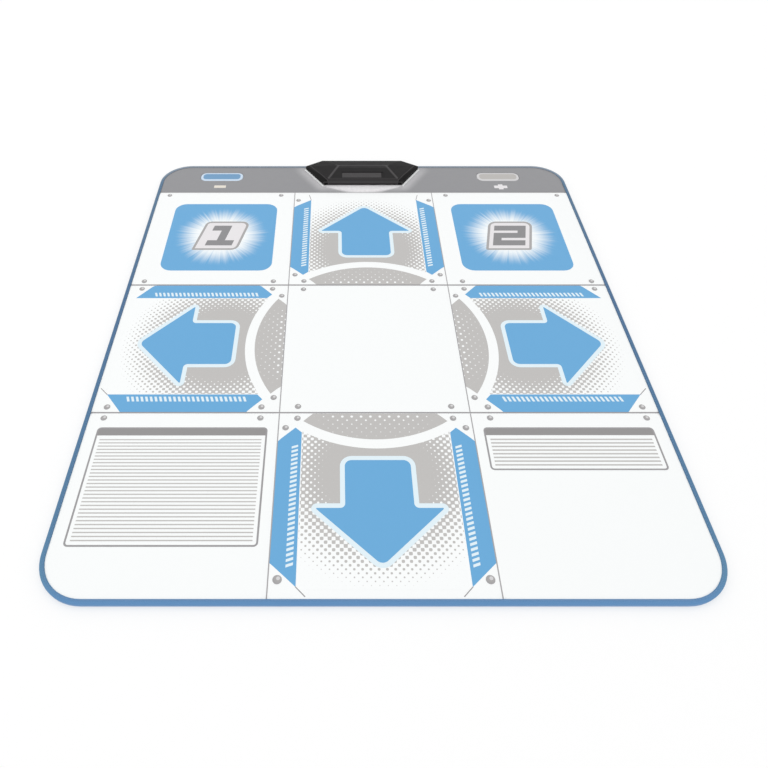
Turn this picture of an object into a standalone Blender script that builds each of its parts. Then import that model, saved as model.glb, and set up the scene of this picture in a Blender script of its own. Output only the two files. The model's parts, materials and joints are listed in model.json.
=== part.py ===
"""Soft dance mat controller with nine foot panels and a control box clipped on its back edge.

The mat is a stack of layers: a non-slip base sheet, a base foam, a film with the printed traces,
a perforated spacer foam, a contact film under each foot panel, and the printed top sheets.
It folds in thirds along two printed lines. Metres, +Z up, +Y towards the back of the mat,
origin on the floor below the middle of the whole object.
"""

import math

import bmesh
import bpy
from mathutils import Matrix

# Layout of the printed lines
FRONT_ROW_DEPTH = 0.273
MIDDLE_ROW_DEPTH = 0.273
BACK_ROW_DEPTH = 0.276
HEADER_DEPTH = 0.096
CENTRE_WIDTH = 0.272
SIDE_WIDTH = 0.275
FRONT_CORNER_RADIUS = 0.062
BACK_CORNER_RADIUS = 0.058
CORNER_STEPS = 12

# Layers, from the floor up
BASE_SHEET = 0.0012
BASE_FOAM = 0.0014
FILM = 0.0002
SPACER_FOAM = 0.0014
TOP_SHEET = 0.0005
LAYER_GAP = 0.0003
SEAM_GAP = 0.0003

# Edge tape folded round the rim
TAPE_THICKNESS = 0.0004
TAPE_WIDTH = 0.0065

# Foot panels
FOAM_MARGIN = 0.014
CONTACT_MARGIN = 0.010
HOLE_RADIUS = 0.011
HOLE_PITCH = 0.056
HOLE_SIDES = 10

# Pill buttons in the header band
PILL_LENGTH = 0.086
PILL_WIDTH = 0.029
PILL_CORNER_RADIUS = 0.012
PILL_FROM_BACK = 0.0405
MINUS_PILL_SHIFT = -0.0145
PLUS_PILL_SHIFT = 0.0045
PILL_POCKET_MARGIN = 0.004
PILL_STEPS = 5

# Control box, measured on its outer shell
BOX_FRONT_WIDTH = 0.158
BOX_TIP_WIDTH = 0.233
BOX_REAR_WIDTH = 0.166
BOX_ON_MAT = 0.071
BOX_OVERHANG = 0.009
BOX_TIP_FROM_REAR = 0.021
BOX_WALL_HEIGHT = 0.007
BOX_ROOF_HEIGHT = 0.012
ROOF_FRONT_WIDTH = 0.140
ROOF_REAR_WIDTH = 0.098
ROOF_FRONT_SETBACK = 0.005
ROOF_REAR_SETBACK = 0.026
SHELL_WALL = 0.0018
SHELL_EDGE_BEVEL = 0.0004
PLATE_RECESS_LENGTH = 0.084
PLATE_RECESS_WIDTH = 0.020
PLATE_RECESS_DEPTH = 0.0006
PLATE_RECESS_FROM_ROOF_EDGE = 0.004

# How the box clamps the mat
CLAMP_SETBACK = 0.002
NOTCH_SETBACK = 0.0083
LIP_WALL = 0.0012
LIP_HEIGHT = 0.0016

# Inside the box
BOARD_LENGTH = 0.070
BOARD_WIDTH = 0.038
BOARD_THICKNESS = 0.001
CONNECTOR_LENGTH = 0.046
CONNECTOR_WIDTH = 0.008
CONNECTOR_HEIGHT = 0.0036
CONNECTOR_LIP = 0.0003
CONNECTOR_WALL = 0.0015
TAIL_WIDTH = 0.040
CHIP_SIDE = 0.012
CHIP_HEIGHT = 0.0016

# Box screws, driven from below
SCREW_RADIUS = 0.0012
SCREW_HEAD_RADIUS = 0.003
SCREW_HEAD_HEIGHT = 0.0014
SCREW_SHANK = 0.0095
SCREW_HEAD_RECESS = 0.0004
SCREW_POST_HEIGHT = 0.005
SCREW_POST_WALL = 0.002
SCREW_FROM_ROOF_END = 0.015
SCREW_FROM_ROOF_EDGE = 0.009
ROUND_STEPS = 14

# Rubber gland for the cord, in the rear wall
GLAND_BORE_RADIUS = 0.0018
GLAND_NECK_RADIUS = 0.0025
GLAND_FLANGE_RADIUS = 0.0032
GLAND_FLANGE = 0.0012
GLAND_STANDOUT = 0.004

# Room between the folded thirds
FOLD_ROOM = 0.0018

MAT_WIDTH = CENTRE_WIDTH + 2 * SIDE_WIDTH
MAT_DEPTH = FRONT_ROW_DEPTH + MIDDLE_ROW_DEPTH + BACK_ROW_DEPTH + HEADER_DEPTH
TOTAL_DEPTH = MAT_DEPTH + BOX_OVERHANG + GLAND_STANDOUT
FRONT_EDGE = -TOTAL_DEPTH / 2

COLUMN_LINES = [-MAT_WIDTH / 2, -CENTRE_WIDTH / 2, 0.0, CENTRE_WIDTH / 2, MAT_WIDTH / 2]
FRONT_FOLD = FRONT_EDGE + FRONT_ROW_DEPTH
MIDDLE_FOLD = FRONT_FOLD + MIDDLE_ROW_DEPTH
HEADER_LINE = MIDDLE_FOLD + BACK_ROW_DEPTH
BACK_EDGE = HEADER_LINE + HEADER_DEPTH
ROW_LINES = [FRONT_EDGE, FRONT_FOLD, MIDDLE_FOLD, HEADER_LINE, BACK_EDGE]

# Heights of the layers
BASE_TOP = BASE_SHEET
BASE_FOAM_LOW = BASE_TOP + LAYER_GAP
BASE_FOAM_TOP = BASE_FOAM_LOW + BASE_FOAM
TRACE_LOW = BASE_FOAM_TOP + LAYER_GAP
TRACE_TOP = TRACE_LOW + FILM
SPACER_LOW = TRACE_TOP + LAYER_GAP
SPACER_TOP = SPACER_LOW + SPACER_FOAM
CONTACT_LOW = SPACER_TOP + LAYER_GAP
CONTACT_TOP = CONTACT_LOW + FILM
SHEET_LOW = CONTACT_TOP + LAYER_GAP
SHEET_TOP = SHEET_LOW + TOP_SHEET
TAPE_HIGH_FLANGE = SHEET_TOP + LAYER_GAP
RIM_TOP = TAPE_HIGH_FLANGE + TAPE_THICKNESS

# The sheets stop just inside the tape's fold
SHEET_INSET = TAPE_THICKNESS + LAYER_GAP
MARGIN_LOW = TAPE_THICKNESS + LAYER_GAP
REBATE_INSET = TAPE_WIDTH + LAYER_GAP

# Heights and lines of the control box
BOX_REAR = BACK_EDGE + BOX_OVERHANG
BOX_FRONT = BACK_EDGE - BOX_ON_MAT
BOX_TIP = BOX_REAR - BOX_TIP_FROM_REAR
COVER_LOW = SHEET_TOP + LAYER_GAP
COVER_WALL_TOP = SHEET_TOP + BOX_WALL_HEIGHT
ROOF_TOP = SHEET_TOP + BOX_ROOF_HEIGHT
ROOF_FRONT = BOX_FRONT + ROOF_FRONT_SETBACK
ROOF_REAR = BOX_REAR - ROOF_REAR_SETBACK
CONNECTOR_LOW = TRACE_LOW - LAYER_GAP - CONNECTOR_LIP
BOARD_TOP = CONNECTOR_LOW - LAYER_GAP
BOARD_LOW = BOARD_TOP - BOARD_THICKNESS
BOX_FLOOR = BOARD_LOW - LAYER_GAP
CLAMP_TOP = TRACE_LOW - LAYER_GAP
LIP_TOP = COVER_LOW + LIP_HEIGHT
GLAND_HEIGHT = SHEET_TOP + LAYER_GAP / 2

# The buttons stand near the middle lines of the side columns
SIDE_COLUMN_MIDDLE = (CENTRE_WIDTH + SIDE_WIDTH) / 2
MINUS_PILL_X = MINUS_PILL_SHIFT - SIDE_COLUMN_MIDDLE
PLUS_PILL_X = PLUS_PILL_SHIFT + SIDE_COLUMN_MIDDLE

# Axes of the two folds
FRONT_FOLD_HEIGHT = RIM_TOP + FOLD_ROOM / 2
MIDDLE_FOLD_HEIGHT = (ROOF_TOP + RIM_TOP + FOLD_ROOM) / 2


def clear_scene():
    for item in list(bpy.data.objects):
        bpy.data.objects.remove(item, do_unlink=True)


def new_collection(name):
    collection = bpy.data.collections.new(name)
    bpy.context.scene.collection.children.link(collection)
    return collection


def principled(name, colour, roughness, metallic=0.0):
    material = bpy.data.materials.new(name)
    material.use_nodes = True
    shader = material.node_tree.nodes["Principled BSDF"]
    shader.inputs["Base Color"].default_value = (*colour, 1.0)
    shader.inputs["Roughness"].default_value = roughness
    shader.inputs["Metallic"].default_value = metallic
    return material


def place(name, mesh, location, material=None):
    """Put a mesh in the model, or among the cutters if it has no material."""
    item = bpy.data.objects.new(name, mesh)
    item.location = location
    if material is None:
        item.hide_render = True
        item.display_type = "WIRE"
        cutters.objects.link(item)
    else:
        mesh.materials.append(material)
        parts.objects.link(item)
    return item


def rounded_outline(left, right, low, high, radii, steps):
    """Points round a rectangle, with an arc at each corner whose radius isn't zero.

    The radii start at the low left corner and go round anticlockwise.
    """
    corners = [(left, low), (right, low), (right, high), (left, high)]
    inward = [(1, 1), (-1, 1), (-1, -1), (1, -1)]
    points = []
    for turn, (corner, side, radius) in enumerate(zip(corners, inward, radii)):
        if radius <= 0:
            points.append(corner)
            continue
        centre_x = corner[0] + side[0] * radius
        centre_y = corner[1] + side[1] * radius
        for step in range(steps + 1):
            angle = math.pi + (turn + step / steps) * math.pi / 2
            points.append((centre_x + radius * math.cos(angle), centre_y + radius * math.sin(angle)))
    return points


def last(lines):
    return len(lines) - 1


def patch(columns, rows, inset, inner=SEAM_GAP / 2):
    """Outline of a stretch of the mat between two column lines and two row lines.

    It stays inset from the mat's rim, whose corners are round, and inner from a printed line.
    """
    first_column, last_column = columns
    first_row, last_row = rows
    at_left = first_column == 0
    at_right = last_column == last(COLUMN_LINES)
    at_front = first_row == 0
    at_back = last_row == last(ROW_LINES)
    left = COLUMN_LINES[first_column] + (inset if at_left else inner)
    right = COLUMN_LINES[last_column] - (inset if at_right else inner)
    low = ROW_LINES[first_row] + (inset if at_front else inner)
    high = ROW_LINES[last_row] - (inset if at_back else inner)
    front_radius = FRONT_CORNER_RADIUS - inset
    back_radius = BACK_CORNER_RADIUS - inset
    radii = [
        front_radius if at_front and at_left else 0,
        front_radius if at_front and at_right else 0,
        back_radius if at_back and at_right else 0,
        back_radius if at_back and at_left else 0,
    ]
    return rounded_outline(left, right, low, high, radii, CORNER_STEPS)


def box_outline(front_inset, rear_inset):
    """Hexagon of the control box, with its three front sides and three rear sides set in."""
    corners = [
        (-BOX_FRONT_WIDTH / 2, BOX_FRONT),
        (BOX_FRONT_WIDTH / 2, BOX_FRONT),
        (BOX_TIP_WIDTH / 2, BOX_TIP),
        (BOX_REAR_WIDTH / 2, BOX_REAR),
        (-BOX_REAR_WIDTH / 2, BOX_REAR),
        (-BOX_TIP_WIDTH / 2, BOX_TIP),
    ]
    insets = [front_inset, front_inset, rear_inset, rear_inset, rear_inset, front_inset]
    count = len(corners)
    lines = []
    for index in range(count):
        ax, ay = corners[index]
        bx, by = corners[(index + 1) % count]
        length = math.hypot(bx - ax, by - ay)
        normal = (-(by - ay) / length, (bx - ax) / length)
        lines.append((normal, normal[0] * ax + normal[1] * ay + insets[index]))
    points = []
    for index in range(count):
        (ax, ay), a_reach = lines[index - 1]
        (bx, by), b_reach = lines[index]
        cross = ax * by - ay * bx
        points.append(((a_reach * by - b_reach * ay) / cross, (ax * b_reach - bx * a_reach) / cross))
    return points


def circle(centre, radius, sides):
    turns = [2 * math.pi * side / sides for side in range(sides)]
    return [(centre[0] + radius * math.cos(t), centre[1] + radius * math.sin(t)) for t in turns]


def rectangle(centre, length, width):
    x, y = centre
    return rounded_outline(x - length / 2, x + length / 2, y - width / 2, y + width / 2, [0] * 4, 1)


def flat(name, outlines, low, high, material=None):
    """A flat layer between two heights: the first outline is its edge, the others are holes."""
    xs = [point[0] for point in outlines[0]]
    ys = [point[1] for point in outlines[0]]
    centre_x = (min(xs) + max(xs)) / 2
    centre_y = (min(ys) + max(ys)) / 2
    curve = bpy.data.curves.new(name, "CURVE")
    curve.dimensions = "2D"
    curve.fill_mode = "BOTH"
    curve.extrude = (high - low) / 2
    for outline in outlines:
        spline = curve.splines.new("POLY")
        spline.points.add(len(outline) - 1)
        for point, (x, y) in zip(spline.points, outline):
            point.co = (x - centre_x, y - centre_y, 0, 1)
        spline.use_cyclic_u = True
    drawn = bpy.data.objects.new(name + "_outline", curve)
    cutters.objects.link(drawn)
    bpy.context.view_layer.update()
    evaluated = drawn.evaluated_get(bpy.context.evaluated_depsgraph_get())
    mesh = bpy.data.meshes.new_from_object(evaluated)
    mesh.materials.clear()
    bpy.data.objects.remove(drawn, do_unlink=True)
    weld(mesh)
    return place(name, mesh, (centre_x, centre_y, (low + high) / 2), material)


def weld(mesh):
    shape = bmesh.new()
    shape.from_mesh(mesh)
    bmesh.ops.remove_doubles(shape, verts=shape.verts, dist=1e-6)
    bmesh.ops.recalc_face_normals(shape, faces=shape.faces)
    shape.to_mesh(mesh)
    shape.free()


def rod(name, radius, low, high, centre):
    """An upright round cutter or post."""
    mesh = bpy.data.meshes.new(name)
    shape = bmesh.new()
    bmesh.ops.create_cone(
        shape, cap_ends=True, segments=ROUND_STEPS, radius1=radius, radius2=radius, depth=high - low
    )
    shape.to_mesh(mesh)
    shape.free()
    return place(name, mesh, (*centre, (low + high) / 2))


def combine(target, tool, operation):
    modifier = target.modifiers.new(operation.lower(), "BOOLEAN")
    modifier.object = tool
    modifier.operation = operation


def turned(name, profile, closed, location, material):
    """A round piece: a profile of (radius, height) points, outer side downwards, turned about Z."""
    mesh = bpy.data.meshes.new(name)
    points = [(radius, 0, height) for radius, height in profile]
    edges = [(index, index + 1) for index in range(len(points) - 1)]
    if closed:
        edges.append((len(points) - 1, 0))
    mesh.from_pydata(points, edges, [])
    item = place(name, mesh, location, material)
    screw = item.modifiers.new("turn", "SCREW")
    screw.steps = ROUND_STEPS
    screw.render_steps = ROUND_STEPS
    screw.use_merge_vertices = True
    screw.merge_threshold = 0.00001
    return item


def hold(items, parent):
    """Parent pieces to an empty and leave them where they are."""
    for item in items:
        item.parent = parent
        item.matrix_parent_inverse = Matrix.Translation(parent.location).inverted()


def axis_empty(name, y, z):
    empty = bpy.data.objects.new(name, None)
    empty.location = (0, y, z)
    parts.objects.link(empty)
    return empty


def base_layers(section, rows, lower_notch, upper_notch):
    """Base sheet with its rebate for the tape, base foam and trace film of one third of the mat."""
    columns = (0, last(COLUMN_LINES))
    past_end = -2 * TAPE_WIDTH
    sheet = flat("base_sheet_" + section, [patch(columns, rows, SHEET_INSET)], 0, BASE_TOP, base_rubber)
    rim = patch(columns, rows, -TAPE_WIDTH, 2 * past_end)
    sole = patch(columns, rows, REBATE_INSET, past_end)
    rebate = flat("rebate_" + section, [rim, sole], -BASE_SHEET, MARGIN_LOW)
    combine(sheet, rebate, "DIFFERENCE")
    foam = flat("base_foam_" + section, [patch(columns, rows, REBATE_INSET)], BASE_FOAM_LOW, BASE_FOAM_TOP,
                foam_grey)
    film = flat("trace_film_" + section, [patch(columns, rows, REBATE_INSET)], TRACE_LOW, TRACE_TOP,
                film_clear)
    if lower_notch:
        combine(sheet, lower_notch, "DIFFERENCE")
        combine(foam, lower_notch, "DIFFERENCE")
        combine(film, upper_notch, "DIFFERENCE")
    return [sheet, foam, film]


def hole_grid(columns, rows):
    """Holes of the spacer foam, where the foot presses one film through to the other."""
    edge = patch(columns, rows, REBATE_INSET, FOAM_MARGIN)
    low_x = min(x for x, y in edge) + FOAM_MARGIN
    high_x = max(x for x, y in edge) - FOAM_MARGIN
    low_y = min(y for x, y in edge) + FOAM_MARGIN
    high_y = max(y for x, y in edge) - FOAM_MARGIN
    across = int((high_x - low_x - 2 * HOLE_RADIUS) / HOLE_PITCH)
    along = int((high_y - low_y - 2 * HOLE_RADIUS) / HOLE_PITCH)
    middle_x = (low_x + high_x) / 2
    middle_y = (low_y + high_y) / 2
    holes = []
    for column in range(across + 1):
        for row in range(along + 1):
            centre_x = middle_x + (column - across / 2) * HOLE_PITCH
            centre_y = middle_y + (row - along / 2) * HOLE_PITCH
            holes.append(circle((centre_x, centre_y), HOLE_RADIUS, HOLE_SIDES))
    return holes


def foot_panel(name, columns, rows):
    """Printed sheet and contact film that a foot presses, and the spacer foam that lifts them."""
    sheet = flat(name + "_panel_sheet", [patch(columns, rows, SHEET_INSET)], SHEET_LOW, SHEET_TOP,
                 vinyl_white)
    film = flat(name + "_contact_film", [patch(columns, rows, REBATE_INSET, CONTACT_MARGIN)],
                CONTACT_LOW, CONTACT_TOP, film_clear)
    outline = patch(columns, rows, REBATE_INSET)
    foam = flat(name + "_spacer_foam", [outline] + hole_grid(columns, rows), SPACER_LOW, SPACER_TOP,
                foam_grey)
    return [sheet, film, foam]


def still_cell(name, columns, rows):
    """A printed sheet that isn't a switch, on plain filler foam."""
    sheet = flat(name + "_sheet", [patch(columns, rows, SHEET_INSET)], SHEET_LOW, SHEET_TOP, vinyl_white)
    foam = flat(name + "_filler_foam", [patch(columns, rows, REBATE_INSET)], SPACER_LOW, CONTACT_TOP,
                foam_grey)
    return [sheet, foam]


def edge_tape(name, columns, rows, notch=None):
    """Tape with a C section: a strip of the rim, hollowed between its flanges and cut open inside."""
    past_end = -2 * TAPE_WIDTH
    tape = flat(name, [patch(columns, rows, 0)], 0, RIM_TOP, tape_blue)
    whole = (0, last(COLUMN_LINES))
    fold = flat(name + "_fold", [patch(whole, rows, TAPE_THICKNESS, past_end)], TAPE_THICKNESS,
                TAPE_HIGH_FLANGE)
    opening = flat(name + "_opening", [patch(whole, rows, TAPE_WIDTH, past_end)], -TAPE_WIDTH,
                   RIM_TOP + TAPE_WIDTH)
    combine(tape, fold, "DIFFERENCE")
    combine(tape, opening, "DIFFERENCE")
    if notch:
        combine(tape, notch, "DIFFERENCE")
    return tape


def pill_outline(centre_x, margin):
    """Rounded button outline, grown by a margin."""
    centre_y = BACK_EDGE - PILL_FROM_BACK
    half_length = PILL_LENGTH / 2 + margin
    half_width = PILL_WIDTH / 2 + margin
    radius = PILL_CORNER_RADIUS + margin
    return rounded_outline(centre_x - half_length, centre_x + half_length, centre_y - half_width,
                           centre_y + half_width, [radius] * 4, PILL_STEPS)


def pill_button(name, centre_x):
    sheet = flat(name + "_button_sheet", [pill_outline(centre_x, 0)], SHEET_LOW, SHEET_TOP, pill_blue)
    film = flat(name + "_contact_film", [pill_outline(centre_x, 0)], CONTACT_LOW, CONTACT_TOP, film_clear)
    hole = circle((centre_x, BACK_EDGE - PILL_FROM_BACK), PILL_WIDTH / 3, HOLE_SIDES)
    foam = flat(name + "_spacer_foam", [pill_outline(centre_x, PILL_POCKET_MARGIN - SEAM_GAP), hole],
                SPACER_LOW, SPACER_TOP, foam_grey)
    return [sheet, film, foam]


def header(upper_notch):
    """Grey band at the back, with windows for the pill buttons."""
    columns = (0, last(COLUMN_LINES))
    rows = (3, last(ROW_LINES))
    pills = [MINUS_PILL_X, PLUS_PILL_X]
    windows = [pill_outline(centre_x, SEAM_GAP) for centre_x in pills]
    pockets = [pill_outline(centre_x, PILL_POCKET_MARGIN) for centre_x in pills]
    sheet = flat("header_sheet", [patch(columns, rows, SHEET_INSET)] + windows, SHEET_LOW, SHEET_TOP,
                 vinyl_grey)
    foam = flat("header_filler_foam", [patch(columns, rows, REBATE_INSET)] + pockets, SPACER_LOW,
                CONTACT_TOP, foam_grey)
    combine(sheet, upper_notch, "DIFFERENCE")
    combine(foam, upper_notch, "DIFFERENCE")
    return [sheet, foam]


def screw_places():
    front_x = ROOF_FRONT_WIDTH / 2 - SCREW_FROM_ROOF_END
    rear_x = ROOF_REAR_WIDTH / 2 - SCREW_FROM_ROOF_EDGE
    front_y = ROOF_FRONT + SCREW_FROM_ROOF_EDGE
    rear_y = ROOF_REAR - SCREW_FROM_ROOF_EDGE
    return [(-front_x, front_y), (front_x, front_y), (rear_x, rear_y), (-rear_x, rear_y)]


def cover_surface():
    """Outer surface of the cover: upright walls, then facets that rise to a flat roof."""
    rim = box_outline(0, 0)
    roof = [
        (-ROOF_FRONT_WIDTH / 2, ROOF_FRONT),
        (ROOF_FRONT_WIDTH / 2, ROOF_FRONT),
        (ROOF_REAR_WIDTH / 2, ROOF_REAR),
        (-ROOF_REAR_WIDTH / 2, ROOF_REAR),
    ]
    shape = bmesh.new()
    low = [shape.verts.new((x, y, COVER_LOW)) for x, y in rim]
    high = [shape.verts.new((x, y, COVER_WALL_TOP)) for x, y in rim]
    top = [shape.verts.new((x, y, ROOF_TOP)) for x, y in roof]
    for index in range(len(rim)):
        after = (index + 1) % len(rim)
        shape.faces.new([low[index], low[after], high[after], high[index]])
    shape.faces.new([high[0], high[1], top[1], top[0]])
    shape.faces.new([high[1], high[2], top[1]])
    shape.faces.new([high[2], top[2], top[1]])
    shape.faces.new([high[2], high[3], top[2]])
    shape.faces.new([high[3], high[4], top[3], top[2]])
    shape.faces.new([high[4], high[5], top[3]])
    shape.faces.new([high[5], top[0], top[3]])
    shape.faces.new([high[5], high[0], top[0]])
    shape.faces.new(top)
    mesh = bpy.data.meshes.new("box_cover")
    shape.to_mesh(mesh)
    shape.free()
    return mesh


def box_cover():
    cover = place("box_cover", cover_surface(), (0, 0, 0), shell_black)
    wall = cover.modifiers.new("wall", "SOLIDIFY")
    wall.thickness = SHELL_WALL
    wall.offset = -1
    wall.use_even_offset = True
    bevel = cover.modifiers.new("edges", "BEVEL")
    bevel.width = SHELL_EDGE_BEVEL
    bevel.segments = 1
    bevel.limit_method = "ANGLE"
    bevel.angle_limit = math.radians(20)
    post_radius = SCREW_RADIUS + LAYER_GAP + SCREW_POST_WALL
    post_low = SCREW_POST_HEIGHT + LAYER_GAP
    bore_top = screw_seat() + SCREW_SHANK + LAYER_GAP
    for index, centre in enumerate(screw_places()):
        post = rod(f"cover_post_{index}", post_radius, post_low, ROOF_TOP - SHELL_WALL / 2, centre)
        combine(cover, post, "UNION")
        bore = rod(f"cover_bore_{index}", SCREW_RADIUS + LAYER_GAP, post_low - LAYER_GAP, bore_top, centre)
        combine(cover, bore, "DIFFERENCE")
    recess_y = ROOF_FRONT + PLATE_RECESS_FROM_ROOF_EDGE + PLATE_RECESS_WIDTH / 2
    recess = flat("plate_recess", [rectangle((0, recess_y), PLATE_RECESS_LENGTH, PLATE_RECESS_WIDTH)],
                  ROOF_TOP - PLATE_RECESS_DEPTH, ROOF_TOP + SHELL_WALL)
    combine(cover, recess, "DIFFERENCE")
    combine(cover, gland_hole("cover_gland_hole", GLAND_NECK_RADIUS, -SHELL_WALL), "DIFFERENCE")
    return cover


def gland_hole(name, radius, start):
    """A round cutter along Y at the parting line, from start behind the rear face, clear of the bush."""
    reach = 4 * SHELL_WALL
    cutter = rod(name, radius + LAYER_GAP, 0, reach, (0, BOX_REAR))
    cutter.location = (0, BOX_REAR - start - reach / 2, GLAND_HEIGHT)
    cutter.rotation_euler = (math.pi / 2, 0, 0)
    return cutter


def screw_seat():
    """Height of the face that the screw heads pull against."""
    return SCREW_HEAD_RECESS + SCREW_HEAD_HEIGHT + LAYER_GAP


def box_base():
    """Tub under the cover: a clamp plate below the mat, a rear wall, and a lip inside the cover."""
    clamp_inset = CLAMP_SETBACK + LAYER_GAP
    lip_inset = NOTCH_SETBACK + LAYER_GAP
    base = flat("box_base", [box_outline(clamp_inset, SHELL_EDGE_BEVEL)], 0, CLAMP_TOP, shell_black)
    rear_wall = flat("base_rear_wall", [box_outline(lip_inset + LIP_WALL / 2, 0)], BOX_FLOOR / 2, SHEET_TOP)
    lip = flat("base_lip", [box_outline(lip_inset, SHELL_WALL + LAYER_GAP)], BOX_FLOOR / 4, LIP_TOP)
    inside = flat("base_inside", [box_outline(lip_inset + LIP_WALL, SHELL_WALL + LAYER_GAP + LIP_WALL)],
                  BOX_FLOOR, ROOF_TOP)
    combine(base, rear_wall, "UNION")
    combine(base, lip, "UNION")
    combine(base, inside, "DIFFERENCE")
    post_radius = SCREW_HEAD_RADIUS + LAYER_GAP + LIP_WALL
    for index, centre in enumerate(screw_places()):
        post = rod(f"base_post_{index}", post_radius, BOX_FLOOR / 3, SCREW_POST_HEIGHT, centre)
        hole = rod(f"base_hole_{index}", SCREW_RADIUS + LAYER_GAP, -SHELL_WALL, ROOF_TOP, centre)
        sink = rod(f"base_sink_{index}", SCREW_HEAD_RADIUS + LAYER_GAP, -SHELL_WALL, screw_seat(), centre)
        combine(base, post, "UNION")
        combine(base, hole, "DIFFERENCE")
        combine(base, sink, "DIFFERENCE")
    slot_y = BOX_FRONT + NOTCH_SETBACK
    slot = flat("tail_slot", [rectangle((0, slot_y), TAIL_WIDTH + 2 * LAYER_GAP, 4 * LIP_WALL)],
                TRACE_LOW - LAYER_GAP, TRACE_TOP + LAYER_GAP)
    combine(base, slot, "DIFFERENCE")
    combine(base, gland_hole("base_gland_hole", GLAND_NECK_RADIUS, -SHELL_WALL), "DIFFERENCE")
    combine(base, gland_hole("base_gland_room", GLAND_FLANGE_RADIUS, SHELL_WALL), "DIFFERENCE")
    return base


def board_place():
    return (0, (BOX_FRONT + BOX_REAR) / 2)


def connector_place():
    x, y = board_place()
    return (x, y - BOARD_WIDTH / 2 + CONNECTOR_WIDTH / 2 + LAYER_GAP)


def film_tail(film):
    """Tongue of the trace film that runs into the box, as far as the connector's inner wall."""
    start = BOX_FRONT + NOTCH_SETBACK - TAPE_WIDTH
    end = connector_place()[1] + CONNECTOR_WIDTH / 2 - CONNECTOR_WALL - LAYER_GAP
    middle = (0, (start + end) / 2)
    tongue = flat("tail_tongue", [rectangle(middle, TAIL_WIDTH, end - start)], TRACE_LOW, TRACE_TOP)
    combine(film, tongue, "UNION")


def box_inside():
    """Circuit board with its controller chip, and the connector that grips the film's tail."""
    board = flat("circuit_board", [rectangle(board_place(), BOARD_LENGTH, BOARD_WIDTH)], BOARD_LOW,
                 BOARD_TOP, board_green)
    chip_x, chip_y = board_place()
    chip_low = BOARD_TOP + LAYER_GAP
    chip_centre = (chip_x, chip_y + BOARD_WIDTH / 2 - CHIP_SIDE)
    chip = flat("controller_chip", [rectangle(chip_centre, CHIP_SIDE, CHIP_SIDE)], chip_low,
                chip_low + CHIP_HEIGHT, chip_black)
    centre = connector_place()
    connector = flat("film_connector", [rectangle(centre, CONNECTOR_LENGTH, CONNECTOR_WIDTH)],
                     CONNECTOR_LOW, CONNECTOR_LOW + CONNECTOR_HEIGHT, chip_black)
    mouth_y = centre[1] - CONNECTOR_WALL
    mouth = flat("connector_mouth", [rectangle((0, mouth_y), TAIL_WIDTH + 2 * LAYER_GAP, CONNECTOR_WIDTH)],
                 TRACE_LOW - LAYER_GAP, TRACE_TOP + LAYER_GAP)
    combine(connector, mouth, "DIFFERENCE")
    return [board, chip, connector]


def box_screws():
    seat = screw_seat() - LAYER_GAP
    profile = [
        (0, seat + SCREW_SHANK),
        (SCREW_RADIUS, seat + SCREW_SHANK - SCREW_RADIUS),
        (SCREW_RADIUS, seat),
        (SCREW_HEAD_RADIUS, seat),
        (SCREW_HEAD_RADIUS, SCREW_HEAD_RECESS),
        (0, SCREW_HEAD_RECESS),
    ]
    screws = []
    for index, centre in enumerate(screw_places()):
        screws.append(turned(f"box_screw_{index + 1}", profile, False, (*centre, 0), steel))
    return screws


def cable_gland():
    """Rubber bush with a groove that the rear wall sits in. Its bore is empty."""
    outer_face = LAYER_GAP
    inner_face = -SHELL_WALL - LAYER_GAP
    profile = [
        (GLAND_BORE_RADIUS, GLAND_STANDOUT),
        (GLAND_NECK_RADIUS, GLAND_STANDOUT),
        (GLAND_FLANGE_RADIUS, outer_face + GLAND_FLANGE),
        (GLAND_FLANGE_RADIUS, outer_face),
        (GLAND_NECK_RADIUS, outer_face),
        (GLAND_NECK_RADIUS, inner_face),
        (GLAND_FLANGE_RADIUS, inner_face),
        (GLAND_FLANGE_RADIUS, inner_face - GLAND_FLANGE),
        (GLAND_BORE_RADIUS, inner_face - GLAND_FLANGE),
    ]
    gland = turned("cable_gland", profile, True, (0, BOX_REAR, GLAND_HEIGHT), gland_rubber)
    gland.rotation_euler = (-math.pi / 2, 0, 0)
    return gland


clear_scene()
parts = new_collection("dance_mat_controller")
cutters = new_collection("cutters")

vinyl_white = principled("vinyl_white", (0.93, 0.94, 0.94), 0.45)
vinyl_grey = principled("vinyl_grey", (0.33, 0.33, 0.34), 0.45)
pill_blue = principled("pill_blue", (0.16, 0.42, 0.72), 0.4)
tape_blue = principled("tape_blue", (0.11, 0.23, 0.46), 0.7)
base_rubber = principled("base_rubber", (0.10, 0.10, 0.11), 0.85)
foam_grey = principled("foam_grey", (0.20, 0.20, 0.20), 0.95)
film_clear = principled("film_clear", (0.75, 0.77, 0.78), 0.25)
shell_black = principled("shell_black", (0.035, 0.033, 0.034), 0.5)
board_green = principled("board_green", (0.03, 0.20, 0.07), 0.4)
chip_black = principled("chip_black", (0.02, 0.02, 0.02), 0.5)
gland_rubber = principled("gland_rubber", (0.015, 0.015, 0.015), 0.8)
steel = principled("steel", (0.60, 0.60, 0.62), 0.3, 1.0)

# Cutters of the box's seat in the mat: wider in the base layers, narrower above the clamp
lower_seat = flat("lower_seat", [box_outline(CLAMP_SETBACK, -LAYER_GAP)], -BASE_SHEET, TRACE_LOW)
upper_seat = flat("upper_seat", [box_outline(NOTCH_SETBACK, -LAYER_GAP)], TRACE_LOW - LAYER_GAP / 2, ROOF_TOP)
tape_seat = flat("tape_seat", [box_outline(0, -LAYER_GAP)], -BASE_SHEET, ROOF_TOP)

back_rows = (2, last(ROW_LINES))
middle_rows = (1, 2)
front_rows = (0, 1)

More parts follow.
